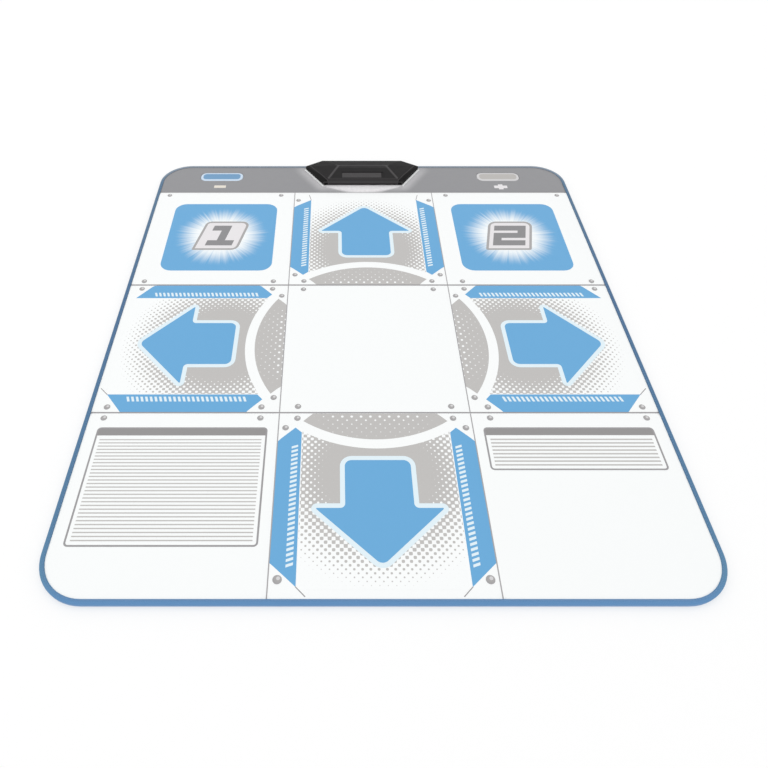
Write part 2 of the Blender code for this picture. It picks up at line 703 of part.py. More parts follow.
# Back third, which stays on the floor when the mat is folded
back_layers = base_layers("back", back_rows, lower_seat, upper_seat)
film_tail(back_layers[2])
header(upper_seat)
foot_panel("left_pad", (0, 1), (2, 3))
foot_panel("up", (1, 3), (2, 3))
foot_panel("right_pad", (3, last(COLUMN_LINES)), (2, 3))
pill_button("minus", MINUS_PILL_X)
pill_button("plus", PLUS_PILL_X)
edge_tape("edge_tape_back_left", (0, 2), back_rows, tape_seat)
edge_tape("edge_tape_back_right", (2, last(COLUMN_LINES)), back_rows, tape_seat)
box_base()
box_cover()
box_inside()
box_screws()
cable_gland()

# Middle third
middle_pieces = base_layers("middle", middle_rows, None, None)
middle_pieces += foot_panel("left", (0, 1), middle_rows)
middle_pieces += foot_panel("right", (3, last(COLUMN_LINES)), middle_rows)
middle_pieces += still_cell("centre", (1, 3), middle_rows)
middle_pieces.append(edge_tape("edge_tape_middle_left", (0, 1), middle_rows))
middle_pieces.append(edge_tape("edge_tape_middle_right", (3, last(COLUMN_LINES)), middle_rows))

# Front third
front_pieces = base_layers("front", front_rows, None, None)
front_pieces += foot_panel("down", (1, 3), front_rows)
front_pieces += still_cell("front_left", (0, 1), front_rows)
front_pieces += still_cell("front_right", (3, last(COLUMN_LINES)), front_rows)
front_pieces.append(edge_tape("edge_tape_front", (0, last(COLUMN_LINES)), front_rows))

# The two fold axes: the front third turns on the middle third, and both turn on the back third
middle_axis = axis_empty("middle_fold_axis", MIDDLE_FOLD, MIDDLE_FOLD_HEIGHT)
front_axis = axis_empty("front_fold_axis", FRONT_FOLD, FRONT_FOLD_HEIGHT)
hold(middle_pieces, middle_axis)
hold(front_pieces, front_axis)
hold([front_axis], middle_axis)
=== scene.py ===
import json

import bmesh
import bpy
import numpy as np
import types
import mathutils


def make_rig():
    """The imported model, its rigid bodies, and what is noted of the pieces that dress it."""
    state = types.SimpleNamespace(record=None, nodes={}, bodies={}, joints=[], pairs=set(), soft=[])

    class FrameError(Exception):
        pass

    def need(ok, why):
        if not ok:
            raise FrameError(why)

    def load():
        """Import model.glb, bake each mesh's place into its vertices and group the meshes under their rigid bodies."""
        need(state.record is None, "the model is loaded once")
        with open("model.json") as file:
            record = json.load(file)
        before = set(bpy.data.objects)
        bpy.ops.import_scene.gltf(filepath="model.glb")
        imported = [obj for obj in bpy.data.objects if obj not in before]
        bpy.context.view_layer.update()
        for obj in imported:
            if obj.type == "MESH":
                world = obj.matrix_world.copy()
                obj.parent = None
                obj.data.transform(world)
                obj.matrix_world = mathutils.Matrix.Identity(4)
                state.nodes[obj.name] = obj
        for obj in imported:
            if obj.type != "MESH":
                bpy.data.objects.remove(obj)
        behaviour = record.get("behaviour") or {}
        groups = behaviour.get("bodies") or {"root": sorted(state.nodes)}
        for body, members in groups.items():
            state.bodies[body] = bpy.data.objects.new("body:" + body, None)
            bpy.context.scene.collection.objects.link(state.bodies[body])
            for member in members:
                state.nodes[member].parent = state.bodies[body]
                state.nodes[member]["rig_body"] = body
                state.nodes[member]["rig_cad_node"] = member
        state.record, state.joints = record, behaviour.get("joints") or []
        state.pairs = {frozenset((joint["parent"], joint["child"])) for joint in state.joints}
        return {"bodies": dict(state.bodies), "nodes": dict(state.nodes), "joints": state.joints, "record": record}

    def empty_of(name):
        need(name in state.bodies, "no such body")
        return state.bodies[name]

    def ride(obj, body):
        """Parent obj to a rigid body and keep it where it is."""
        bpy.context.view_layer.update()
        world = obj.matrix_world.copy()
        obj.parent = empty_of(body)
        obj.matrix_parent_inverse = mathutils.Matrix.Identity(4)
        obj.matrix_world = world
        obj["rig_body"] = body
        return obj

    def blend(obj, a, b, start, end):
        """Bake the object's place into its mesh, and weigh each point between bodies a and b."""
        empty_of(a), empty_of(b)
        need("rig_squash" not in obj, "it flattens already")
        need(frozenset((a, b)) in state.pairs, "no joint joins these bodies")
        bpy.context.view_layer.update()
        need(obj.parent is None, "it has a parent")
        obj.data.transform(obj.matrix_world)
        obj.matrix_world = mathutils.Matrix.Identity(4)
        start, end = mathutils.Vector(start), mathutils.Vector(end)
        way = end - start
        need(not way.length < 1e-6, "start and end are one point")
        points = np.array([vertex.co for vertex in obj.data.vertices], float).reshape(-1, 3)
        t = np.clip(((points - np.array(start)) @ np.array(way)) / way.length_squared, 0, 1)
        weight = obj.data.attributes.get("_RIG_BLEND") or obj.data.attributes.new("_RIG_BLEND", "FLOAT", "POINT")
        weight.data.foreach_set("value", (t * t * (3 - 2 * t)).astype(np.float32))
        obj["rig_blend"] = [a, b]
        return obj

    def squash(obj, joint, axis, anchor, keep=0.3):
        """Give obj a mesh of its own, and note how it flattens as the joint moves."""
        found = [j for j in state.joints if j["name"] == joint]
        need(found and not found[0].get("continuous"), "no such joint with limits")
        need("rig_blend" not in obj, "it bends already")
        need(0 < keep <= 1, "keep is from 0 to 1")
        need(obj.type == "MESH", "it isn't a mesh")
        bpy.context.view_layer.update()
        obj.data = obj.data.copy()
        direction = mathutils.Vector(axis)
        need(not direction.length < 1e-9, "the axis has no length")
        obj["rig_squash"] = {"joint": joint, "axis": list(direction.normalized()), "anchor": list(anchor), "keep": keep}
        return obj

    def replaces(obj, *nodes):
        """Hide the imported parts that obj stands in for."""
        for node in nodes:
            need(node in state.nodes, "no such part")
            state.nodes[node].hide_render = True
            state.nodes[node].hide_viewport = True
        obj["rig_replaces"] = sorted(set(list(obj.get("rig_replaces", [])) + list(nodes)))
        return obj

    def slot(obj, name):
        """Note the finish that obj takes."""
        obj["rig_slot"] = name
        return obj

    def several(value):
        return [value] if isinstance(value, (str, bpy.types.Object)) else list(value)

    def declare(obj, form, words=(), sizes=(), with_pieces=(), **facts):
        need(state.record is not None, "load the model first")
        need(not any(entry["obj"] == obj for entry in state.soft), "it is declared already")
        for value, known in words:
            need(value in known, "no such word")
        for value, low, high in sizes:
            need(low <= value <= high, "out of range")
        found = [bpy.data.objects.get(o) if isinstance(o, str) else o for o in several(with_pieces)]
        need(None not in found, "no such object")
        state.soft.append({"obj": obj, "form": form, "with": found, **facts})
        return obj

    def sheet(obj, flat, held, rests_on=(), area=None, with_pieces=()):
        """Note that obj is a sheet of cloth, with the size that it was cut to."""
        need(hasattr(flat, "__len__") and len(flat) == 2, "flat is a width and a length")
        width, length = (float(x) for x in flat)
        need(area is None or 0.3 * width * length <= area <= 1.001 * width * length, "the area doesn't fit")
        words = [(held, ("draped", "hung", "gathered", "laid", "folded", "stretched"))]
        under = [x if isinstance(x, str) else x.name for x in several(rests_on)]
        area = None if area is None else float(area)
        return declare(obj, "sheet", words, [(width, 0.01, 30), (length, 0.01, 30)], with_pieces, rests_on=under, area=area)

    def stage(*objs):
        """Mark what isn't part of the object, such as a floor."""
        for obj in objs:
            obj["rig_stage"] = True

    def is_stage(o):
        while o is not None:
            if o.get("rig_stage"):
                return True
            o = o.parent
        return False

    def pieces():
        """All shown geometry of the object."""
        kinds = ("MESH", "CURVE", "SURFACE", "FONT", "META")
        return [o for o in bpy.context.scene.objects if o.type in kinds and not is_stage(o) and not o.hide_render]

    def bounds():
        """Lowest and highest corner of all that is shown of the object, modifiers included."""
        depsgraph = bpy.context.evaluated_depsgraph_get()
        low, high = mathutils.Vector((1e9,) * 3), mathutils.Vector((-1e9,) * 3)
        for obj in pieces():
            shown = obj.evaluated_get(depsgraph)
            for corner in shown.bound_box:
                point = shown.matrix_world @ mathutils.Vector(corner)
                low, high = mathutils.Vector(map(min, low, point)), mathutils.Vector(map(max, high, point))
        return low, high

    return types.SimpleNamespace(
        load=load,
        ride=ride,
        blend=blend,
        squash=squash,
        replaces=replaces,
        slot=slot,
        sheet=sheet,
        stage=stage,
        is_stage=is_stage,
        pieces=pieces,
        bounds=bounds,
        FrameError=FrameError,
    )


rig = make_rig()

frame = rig.load()
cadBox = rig.bounds()
print("frame:", len(frame["nodes"]), "nodes")

# the printed lines, rim and heights that the soft pieces share, in metres
mat = {
    "halfWidth": 0.411, "front": -0.4655, "back": 0.4525, "centre": -0.056, "frontRadius": 0.062, "backRadius": 0.058,
    "column": 0.136, "frontFold": -0.1925, "middleFold": 0.0805, "header": 0.3565,
    "plateau": 0.0064, "weld": 0.0057, "weldHalf": 0.002, "shoulder": 0.006,
    "sheetInset": 0.0007, "tapeInset": 0.0065, "lineHalf": 0.00075, "inkLift": 0.00004, "pressKeep": 0.15,
}
folds = {"middleFold": ("back_section", "middle_section"), "frontFold": ("middle_section", "front_section")}
square = np.array([(-1, -1), (1, -1), (1, 1), (-1, 1)])


# numpy surfaces: dictionaries of points, faces, paint numbers, tone and map
def xy(x, y):
    return np.stack(np.broadcast_arrays(np.asarray(x, float), np.asarray(y, float)), -1)


def ray(angle):
    return xy(np.cos(angle), np.sin(angle))


def unit(v):
    return v / np.linalg.norm(v, axis=-1, keepdims=True)


def leftOf(v):
    # a quarter turn to the left
    return xy(-v[..., 1], v[..., 0])


def walked(path):
    # length along a path up to each of its points
    return np.append(0, np.cumsum(np.hypot(*np.diff(path, axis=0).T)))


def rise(value, low, high):
    # 3 t^2 - 2 t^3
    t = np.clip((value - low) / (high - low), 0, 1)
    return t * t * (3 - 2 * t)


def crowned(t):
    # 1 - (1 - t)^2
    return 1 - (1 - np.clip(t, 0, 1)) ** 2


def gridFaces(rows, columns, closed=False):
    # the quad at (i, j) joins it to (i, j+1), (i+1, j+1) and (i+1, j); a closed grid joins its last column to its first
    i, j = np.meshgrid(np.arange(rows - 1), np.arange(columns if closed else columns - 1), indexing="ij")
    k = (j + 1) % columns
    quads = [i * columns + j, i * columns + k, (i + 1) * columns + k, (i + 1) * columns + j]
    return np.stack(quads, -1).reshape(-1, 4)


def surface(points, faces, paint=0, tone=1.0, uv=None):
    # paint is one number or one for each face, tone one or one for each point, and the map is x and y unless given
    uv = points[..., :2] if uv is None else np.asarray(uv, float)
    return {"points": points.reshape(-1, 3), "faces": faces, "paint": np.broadcast_to(np.ravel(paint), len(faces)),
            "tone": np.broadcast_to(tone, points.shape[:-1]).ravel().astype(float), "uv": uv.reshape(-1, 2)}


def grid(points, paint=0, tone=1.0, uv=None, closed=False):
    # points is a (rows, columns, 3) array
    return surface(points, gridFaces(*points.shape[:2], closed), paint, tone, uv)


def faceUp(flat):
    # turns a flat-lying surface whose faces look down
    a, b, c = (flat["points"][flat["faces"][:, k]] for k in (0, 1, 2))
    if np.cross(b - a, c - a)[:, 2].sum() < 0:
        flat["faces"] = flat["faces"][:, ::-1]
    return flat


def opened(mesh):
    # gives the mesh's editable form once, and writes it back
    shape = bmesh.new()
    shape.from_mesh(mesh)
    yield shape
    shape.to_mesh(mesh)
    shape.free()


def added(name, data):
    made = bpy.data.objects.new(name, data)
    bpy.context.scene.collection.objects.link(made)
    return made


def piece(name, surfaces, materials, up=True):
    # one mesh of many surfaces, with its map in metres and its tone; poles and seams are closed
    surfaces = [faceUp(s) if up else s for s in surfaces]
    whole = {key: np.concatenate([s[key] for s in surfaces]) for key in ("points", "tone", "uv", "paint")}
    starts = np.cumsum([0] + [len(s["points"]) for s in surfaces[:-1]])
    faces = np.concatenate([s["faces"] + start for s, start in zip(surfaces, starts)])
    mesh = bpy.data.meshes.new(name)
    mesh.from_pydata(whole["points"], [], faces)
    mesh.attributes.new("tone", "FLOAT", "POINT").data.foreach_set("value", whole["tone"])
    mesh.uv_layers.new(name="UVMap").data.foreach_set("uv", whole["uv"][faces.ravel()].ravel())
    mesh.polygons.foreach_set("material_index", whole["paint"].astype(np.int32))
    mesh.polygons.foreach_set("use_smooth", np.full(len(faces), True))
    for material in materials:
        mesh.materials.append(material)
    for shape in opened(mesh):
        bmesh.ops.remove_doubles(shape, verts=shape.verts, dist=1e-6)
        bmesh.ops.dissolve_degenerate(shape, edges=shape.edges, dist=1e-6)
    mesh.validate()
    return added(name, mesh)


def signed(made, slot, nodes):
    if nodes:
        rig.replaces(made, *nodes)
    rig.slot(made, slot)
    return made


def carried(made, slot, body, nodes=(), joint=None, anchor=mat["weld"], keep=mat["pressKeep"]):
    # rides its body; a piece over a switch also sinks towards the anchor's height as the switch closes
    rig.ride(made, body)
    if joint:
        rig.squash(made, joint, (0, 0, 1), (0, 0, anchor), keep)
    return signed(made, slot, nodes)


def folded(made, slot, fold, half, height=0, nodes=()):
    # blends from one third to the other over the fold's band
    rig.blend(made, *folds[fold], (0, mat[fold] + half, height), (0, mat[fold] - half, height))
    return signed(made, slot, nodes)


def clothHeight(x, y):
    # flat over the weld band, then up to the plateau as 1 - (1 - t)^2, t = (d - band) / shoulder
    toColumn = np.hypot(np.abs(np.abs(x) - mat["column"]), np.maximum(0, y - mat["header"]))
    toRow = np.min([np.abs(y - mat[row]) for row in ("frontFold", "middleFold", "header")], axis=0)
    t = (np.minimum(toColumn, toRow) - mat["weldHalf"]) / mat["shoulder"]
    return mat["weld"] + (mat["plateau"] - mat["weld"]) * crowned(t)


def onCloth(x, y, lift=0.0):
    x, y = np.broadcast_arrays(np.asarray(x, float), np.asarray(y, float))
    return np.stack([x, y, clothHeight(x, y) + lift * mat["inkLift"]], -1)


def halfWidthAt(y, inset):
    # the rim's half width at y: straight sides, and a quarter circle at each corner
    y = np.asarray(y, float)
    frontR, backR = mat["frontRadius"] - inset, mat["backRadius"] - inset
    below = np.clip(mat["front"] + mat["frontRadius"] - y, 0, frontR)
    above = np.clip(y - mat["back"] + mat["backRadius"], 0, backR)
    cut = frontR - np.sqrt(frontR ** 2 - below ** 2) + backR - np.sqrt(backR ** 2 - above ** 2)
    return mat["halfWidth"] - inset - cut


fineSteps = np.array([0, 0.75, 2, 2.7, 3.6, 4.7, 6.2, 8]) / 1000
seamSteps = {0: np.zeros(1), 1: fineSteps, 2: fineSteps[2:] - mat["weldHalf"]}


def stops(low, high, lowSeam=0, highSeam=0, step=0.013):
    # stations from low to high, close together over a seam's shoulder: 1 starts on the seam line, 2 at the weld's edge
    start, end = low + seamSteps[lowSeam], (high - seamSteps[highSeam])[::-1]
    count = max(2, int(np.ceil((end[0] - start[-1]) / step)) + 1)
    return np.concatenate([start, np.linspace(start[-1], end[0], count)[1:-1], end])


def cornerStops(end, inset, count=9):
    # stations through a round corner, evenly spaced in angle, from its start to the rim
    radius, way = mat[end + "Radius"], -1 if end == "front" else 1
    return mat[end] - way * radius + way * (radius - inset) * np.sin(np.linspace(0, np.pi / 2, count))


def roundOutline(corners, radii, steps=6):
    # a closed outline whose corners are arcs: a circle through the ends of the corner's two tangents
    corners, made = np.asarray(corners, float), []
    for k, radius in enumerate(np.broadcast_to(radii, len(corners))):
        here = corners[k]
        a, b = unit(corners[k - 1] - here), unit(corners[(k + 1) % len(corners)] - here)
        half = np.arccos(np.clip(a @ b, -1, 1)) / 2
        if radius <= 0 or half > 1.55:  # a sharp or a straight corner
            made.append(here[None])
            continue
        centre = here + unit(a + b) * radius / np.sin(half)
        first, last = (here + way * radius / np.tan(half) - centre for way in (a, b))
        start, sweep = np.arctan2(first[1], first[0]), np.arctan2(first[0] * last[1] - first[1] * last[0], first @ last)
        made.append(centre + radius * ray(start + sweep * np.linspace(0, 1, steps + 1)))
    return np.concatenate(made)


def grown(outline, distance):
    # each point moves out along the mitre of its two edges, so that the edges stay parallel
    ahead = np.roll(outline, -1, 0)
    normal = -leftOf(unit(ahead - outline))
    mitre = normal + np.roll(normal, 1, 0)
    turn = np.sign((outline[:, 0] * ahead[:, 1] - outline[:, 1] * ahead[:, 0]).sum())
    return outline + turn * 2 * distance * mitre / np.maximum((mitre ** 2).sum(1), 0.5)[:, None]


def between(inner, outer, rows=2):
    # straight rays from one outline, or from a point, to another: inner + t (outer - inner)
    inner = np.asarray(inner, float)
    return inner + np.linspace(0, 1, rows)[:, None, None] * (outer - inner)


def inked(plan, name, lift, tone=1.0, closed=True, uv=None):
    # a printed surface: its plan laid on the cloth
    return grid(onCloth(plan[..., 0], plan[..., 1], lift), ink(name), tone, uv, closed)


# shader tools: an input is a value or another node's socket, and a node joins the tree of its sockets
def put(kind, inputs, tree=None, **settings):
    tree = tree or next(value.id_data for value in inputs.values() if isinstance(value, bpy.types.NodeSocket))
    node = tree.nodes.new("ShaderNode" + kind)
    for key, value in settings.items():
        setattr(node, key, value)
    for label, value in inputs.items():
        if isinstance(value, bpy.types.NodeSocket):
            tree.links.new(value, node.inputs[label])
        else:
            node.inputs[label].default_value = value
    return node


def calc(operation, *terms):
    # a term may be a sum of its own, as (operation, term, term)
    terms = [calc(*term) if isinstance(term, tuple) else term for term in terms]
    return put("Math", dict(enumerate(terms)), operation=operation).outputs[0]


def linear(red, green, blue, factor=1.0):
    # screen colour, 0 to 255, to scene light
    c = np.array([red, green, blue]) / 255
    return (*(factor * float(v) for v in np.where(c <= 0.04045, c / 12.92, ((c + 0.055) / 1.055) ** 2.4)), 1)


def mixed(share, *colours):
    # a share of the second colour on the first; each is a socket, or screen values and sometimes a factor
    colours = [linear(*colour) if isinstance(colour, tuple) else colour for colour in colours]
    return put("Mix", {0: share, 6: colours[0], 7: colours[1]}, data_type="RGBA").outputs[2]


def noise(place, scale, detail, rough=0.5):
    inputs = {"Vector": place, "Scale": scale, "Detail": detail, "Roughness": rough}
    return put("TexNoise", inputs).outputs["Fac"]


def span(value, low, high, toLow=0.0, toHigh=1.0, kind="LINEAR"):
    # carries low..high to toLow..toHigh, and is held beyond
    inputs = {"Value": value, "From Min": low, "From Max": high, "To Min": toLow, "To Max": toHigh}
    return put("MapRange", inputs, interpolation_type=kind).outputs["Result"]


def axes(place):
    return put("SeparateXYZ", {"Vector": place}).outputs


def partPlace(material):
    return put("TexCoord", {}, material.node_tree).outputs["Object"]


def ownMap(material):
    return put("UVMap", {}, material.node_tree, uv_map="UVMap").outputs[0]


def ownTone(material):
    return put("Attribute", {}, material.node_tree, attribute_name="tone").outputs["Fac"]


def newGroup(name, numbers, gives, recipe):
    # takes a place and numbers with their usual values; the recipe works out what it gives
    tree = bpy.data.node_groups.new(name, "ShaderNodeTree")
    tree.interface.new_socket("Place", in_out="INPUT", socket_type="NodeSocketVector")
    for label, value in numbers.items():
        tree.interface.new_socket(label, in_out="INPUT", socket_type="NodeSocketFloat").default_value = value
    for label in gives:
        tree.interface.new_socket(label, in_out="OUTPUT", socket_type="NodeSocketFloat")
    take, give = tree.nodes.new("NodeGroupInput").outputs, tree.nodes.new("NodeGroupOutput").inputs
    for label, value in zip(gives, recipe(*(take[k] for k in ("Place", *numbers)))):
        tree.links.new(value, give[label])
    return tree


def vinylRecipe(place, grain):
    # embossed sheet: fine cells and a slow unevenness as height, and a tone for gloss and dirt
    cells = put("TexVoronoi", {"Vector": place, "Scale": calc("DIVIDE", 1.0, grain), "Randomness": 0.85},
                feature="F1", voronoi_dimensions="2D").outputs["Distance"]
    height = calc("ADD", ("MULTIPLY", cells, 0.05), ("MULTIPLY", noise(place, 22.0, 2.0), 2.0))
    return height, noise(place, 55.0, 5.0, 0.65)


def halftoneRecipe(place, size, tone):
    # dots on a diagonal lattice: ink where cos(x) cos(y) is above 1 - 2 tone
    split = axes(place)
    waves = [("COSINE", ("MULTIPLY", ("DIVIDE", split[axis], size), 2 * np.pi)) for axis in "XY"]
    over = calc("SUBTRACT", ("MULTIPLY", *waves), ("SUBTRACT", 1.06, ("MULTIPLY", tone, 2.12)))
    return [span(over, -0.13, 0.13, kind="SMOOTHSTEP")]


def weaveRecipe(place, pitch):
    # plain weave from the tape's own map: warp and weft threads cross over in turn
    split = axes(place)
    ways = [calc("MULTIPLY", ("DIVIDE", split[axis], pitch), np.pi) for axis in "XY"]
    threads = ("MULTIPLY", *(("ABSOLUTE", ("SINE", way)) for way in ways))
    over = ("MULTIPLY", *(("SINE", ("MULTIPLY", way, 0.5)) for way in ways))
    height = calc("ADD", threads, ("MULTIPLY", over, 0.5))
    return height, calc("MULTIPLY", ("ADD", height, noise(place, 900.0, 3.0)), 0.5)


def mouldedRecipe(place, pits):
    # spark-eroded mould texture: fine pits, and slow flow marks for the gloss
    return noise(place, pits, 3.0, 0.7), noise(place, 60.0, 4.0, 0.6)


def foamRecipe(place, size):
    # closed-cell foam: small bubbles of uneven size
    cells = put("TexVoronoi", {"Vector": place, "Scale": size}, feature="F1").outputs["Distance"]
    return cells, calc("ADD", cells, noise(place, 120.0, 3.0))


def burstRecipe(place, core):
    # white light round the middle of the map: a core, and rays whose length depends on their direction only
    way, reach = (put("VectorMath", {0: place}, operation=kind).outputs for kind in ("NORMALIZE", "LENGTH"))
    limit = ("ADD", core, ("MULTIPLY", noise(way[0], 13.0, 3.0, 0.75), 0.042))
    return [span(calc("SUBTRACT", limit, reach["Value"]), -0.030, 0.018, kind="SMOOTHSTEP")]


groups = {
    "vinyl": newGroup("vinylSurface", {"Grain": 0.0011}, ("Height", "Tone"), vinylRecipe),
    "halftone": newGroup("halftoneDots", {"Cell": 0.011, "Tone": 1.0}, ("Ink",), halftoneRecipe),
    "weave": newGroup("wovenTape", {"Pitch": 0.0007}, ("Height", "Shade"), weaveRecipe),
    "moulded": newGroup("mouldedTexture", {"Pits": 2600.0}, ("Height", "Tone"), mouldedRecipe),
    "foam": newGroup("foamCells", {"Cells": 1400.0}, ("Height", "Shade"), foamRecipe),
    "burst": newGroup("rayBurst", {"Core": 0.0355}, ("Light",), burstRecipe),
}


def useGroup(name, **inputs):
    return put("Group", inputs, node_tree=groups[name]).outputs


def newMaterial(name, **values):
    material = bpy.data.materials.new(name)
    material.use_nodes = True
    for label, value in values.items():
        material.node_tree.nodes["Principled BSDF"].inputs[label.replace("_", " ")].default_value = value
    return material


def coated(material, colour, bump=None, gloss=None):
    # the colour, a bump of (height, distance, strength) and a roughness of (tone, low, high)
    results = {"Base Color": colour}
    if bump:
        results["Normal"] = put("Bump", dict(zip(("Height", "Distance", "Strength"), bump))).outputs[0]
    if gloss:
        tone, low, high = gloss
        results["Roughness"] = span(tone, 0.3, 0.7, low, high)
    for label, value in results.items():
        material.node_tree.links.new(value, material.node_tree.nodes["Principled BSDF"].inputs[label])
    return material


embossed, satin = (0.0006, 0.35), (0.42, 0.52)


def vinyl(name, colour, rough=satin, second=None, cell=None, burst=False):
    # a printed or bare PVC sheet; second and cell give halftone dots of the colour on the second one
    material = newMaterial(name, Specular_IOR_Level=0.35)
    place = ownMap(material)
    sheet = useGroup("vinyl", Place=place)
    faded = mixed(calc("MULTIPLY", sheet["Tone"], 0.05), colour, (*colour, 0.82))
    if cell:
        dots = useGroup("halftone", Place=place, Cell=cell, Tone=ownTone(material))
        faded = mixed(dots["Ink"], second, faded)
    if burst:
        faded = mixed(useGroup("burst", Place=place)["Light"], faded, second)
    return coated(material, faded, (sheet["Height"], *embossed), (sheet["Tone"], *rough))


white, blue, grey = (252, 254, 254), (105, 172, 220), (194, 192, 190)
paints = {
    "white": vinyl("vinylWhite", white),
    "blue": vinyl("inkBlue", blue),
    "grey": vinyl("inkGrey", grey),
    "line": vinyl("inkLine", (168, 166, 168)),
    "dark": vinyl("inkDark", (150, 148, 148)),
    "halo": vinyl("inkHalo", (229, 244, 251)),
    "pale": vinyl("inkPale", (208, 226, 244)),
    "pillBlue": vinyl("inkPillBlue", (113, 158, 197)),
    "pillGrey": vinyl("inkPillGrey", (188, 185, 182)),
    "sign": vinyl("inkSign", (235, 232, 234)),
    "field": vinyl("inkHalftone", grey, second=white, cell=0.0098),
    "segment": vinyl("inkRingDots", grey, second=white, cell=0.0133),
    "burst": vinyl("inkBurst", blue, second=(250, 254, 255), burst=True),
    "rivet": vinyl("inkRivet", (172, 170, 170)),
    "fold": vinyl("inkFoldLine", (158, 156, 158)),
    "rivetLight": vinyl("inkRivetLight", (214, 213, 214)),
    "mark": vinyl("inkMark", (142, 141, 143)),
    "cream": vinyl("inkCream", (233, 226, 214)),
}
inkList = list(paints.values())


def ink(name):
    return list(paints).index(name)


def headerMaterial():
    # grey, and paler where the tone attribute says that the box is near
    material = newMaterial("inkHeader", Specular_IOR_Level=0.35)
    place = ownMap(material)
    sheet = useGroup("vinyl", Place=place)
    near = calc("MULTIPLY", ownTone(material), ("ADD", 0.7, ("MULTIPLY", noise(place, 160.0, 2.0), 0.6)))
    return coated(material, mixed(near, (147, 147, 150), (240, 238, 240)),
                  (sheet["Height"], *embossed), (sheet["Tone"], *satin))


# painted light and shade on a tape of one blue, along the mat's depth from front to back: a painted sheen at the front,
# darkest at mid depth, and greyer towards the back
tapeLightAndShade = ((0.0, (75, 134, 189)), (0.035, (70, 128, 167)), (0.12, (55, 112, 152)), (0.55, (32, 86, 130)),
            (0.93, (64, 101, 128)), (0.99, (147, 153, 158)))


def tapeMaterial():
    material = newMaterial("wovenBinding", Specular_IOR_Level=0.25, Roughness=0.8, Sheen_Weight=0.25,
                           Sheen_Roughness=0.4)
    cloth = useGroup("weave", Place=ownMap(material))
    along = span(axes(partPlace(material))["Y"], mat["front"], mat["back"])
    # the ramp paints the tape's light and shade by its place in y
    ramp = put("ValToRGB", {"Fac": along})
    for k, (at, colour) in enumerate(tapeLightAndShade):
        stop = ramp.color_ramp.elements[k] if k < 2 else ramp.color_ramp.elements.new(at)
        stop.position, stop.color = at, linear(*colour)
    # paler where the weave rises, with random tone
    paleShare = calc("MULTIPLY", cloth["Shade"], 0.5)
    return coated(material, mixed(paleShare, ramp.outputs["Color"], (150, 174, 200)), (cloth["Height"], 0.00012, 0.6))


def threadMaterial():
    material = newMaterial("stitchThread", Roughness=0.7)
    twist = put("TexWave", {"Vector": ownMap(material), "Scale": 700.0, "Distortion": 0.5}).outputs["Fac"]
    return coated(material, mixed(twist, (92, 128, 180), (132, 166, 210)), (twist, 0.0001, 0.5))


def baseMaterial():
    # dark sheet with raised dots that stop short of the folds and rim, as the tone attribute says
    material = newMaterial("nonSlipBase", Specular_IOR_Level=0.3)
    place = ownMap(material)
    sheet = useGroup("vinyl", Place=place, Grain=0.0016)
    dots = useGroup("halftone", Place=place, Cell=0.009, Tone=calc("MULTIPLY", ownTone(material), 0.27))["Ink"]
    height = calc("ADD", dots, ("MULTIPLY", sheet["Height"], 0.25))
    return coated(material, mixed(dots, (62, 63, 66), (88, 89, 92)), (height, 0.0005, 0.8), (sheet["Tone"], 0.6, 0.75))


def mouldedMaterial(name, colour, rough, pits=2600.0, depth=0.00005):
    material = newMaterial(name, Specular_IOR_Level=0.45)
    skin = useGroup("moulded", Place=partPlace(material), Pits=pits)
    shade = mixed(skin["Tone"], (*colour, 0.86), (*colour, 1.12))
    return coated(material, shade, (skin["Height"], depth, 0.6), (skin["Tone"], *rough))


def foamMaterial():
    material = newMaterial("foamGrey", Roughness=0.92)
    cells = useGroup("foam", Place=partPlace(material))
    return coated(material, mixed(cells["Shade"], (96, 96, 96), (150, 150, 148)), (cells["Height"], 0.0003, 0.7))


def filmMaterial():
    # clear polyester with printed silver traces: bands where a slow wave passes its crest
    material = newMaterial("circuitFilm", Roughness=0.22, Transmission_Weight=0.35, IOR=1.5)
    wave = put("TexWave", {"Vector": partPlace(material), "Scale": 28.0}, bands_direction="X").outputs["Fac"]
    return coated(material, mixed(span(wave, 0.86, 0.92), (226, 230, 232), (120, 122, 126)))


def boardMaterial():
    # solder mask over copper tracks: a rectangular brick pattern, thinned to its joints
    material = newMaterial("solderMask", Roughness=0.35)
    bricks = {"Vector": partPlace(material), "Scale": 180.0, "Mortar Size": 0.03}
    tracks = put("TexBrick", bricks).outputs["Fac"]
    return coated(material, mixed(tracks, (20, 96, 52), (52, 140, 84)), (tracks, 0.00004, 0.5))


def steelMaterial():
    # zinc plate, whose brushing is a fine stretched noise
    material = newMaterial("zincPlate", Metallic=1.0)
    stretch = put("Mapping", {"Vector": partPlace(material), "Scale": (4000, 4000, 400)}).outputs[0]
    brushed = noise(stretch, 1.0, 2.0)
    return coated(material, mixed(brushed, (166, 168, 172), (208, 208, 206)), gloss=(brushed, 0.25, 0.42))


finishes = {
    "header": headerMaterial(), "tape": tapeMaterial(), "thread": threadMaterial(), "base": baseMaterial(),
    "chip": mouldedMaterial("componentPlastic", (34, 34, 36), (0.4, 0.5)),
    "rubber": mouldedMaterial("glandRubber", (30, 30, 31), (0.65, 0.8), 1200.0, 0.0001),
    "foam": foamMaterial(), "film": filmMaterial(), "board": boardMaterial(), "steel": steelMaterial(),
}
print("materials:", len(bpy.data.materials))

# top sheet: each row's nodes from left to right, its span in y and the kinds of its two seams
weldHalf = mat["weldHalf"]
rows = {
    "back": ("left_pad_panel", "up_panel", "right_pad_panel"),
    "middle": ("left_panel", "centre", "right_panel"),
    "front": ("front_left", "down_panel", "front_right"),
}
spans = {
    "back": (mat["middleFold"] + weldHalf, mat["header"]),
    "middle": (mat["frontFold"] + weldHalf, mat["middleFold"] - weldHalf),
    "front": (mat["front"] + mat["tapeInset"], mat["frontFold"] - weldHalf),
}
seams = {"back": (2, 1), "middle": (2, 2), "front": (0, 2)}
columns = (-mat["column"], mat["column"])


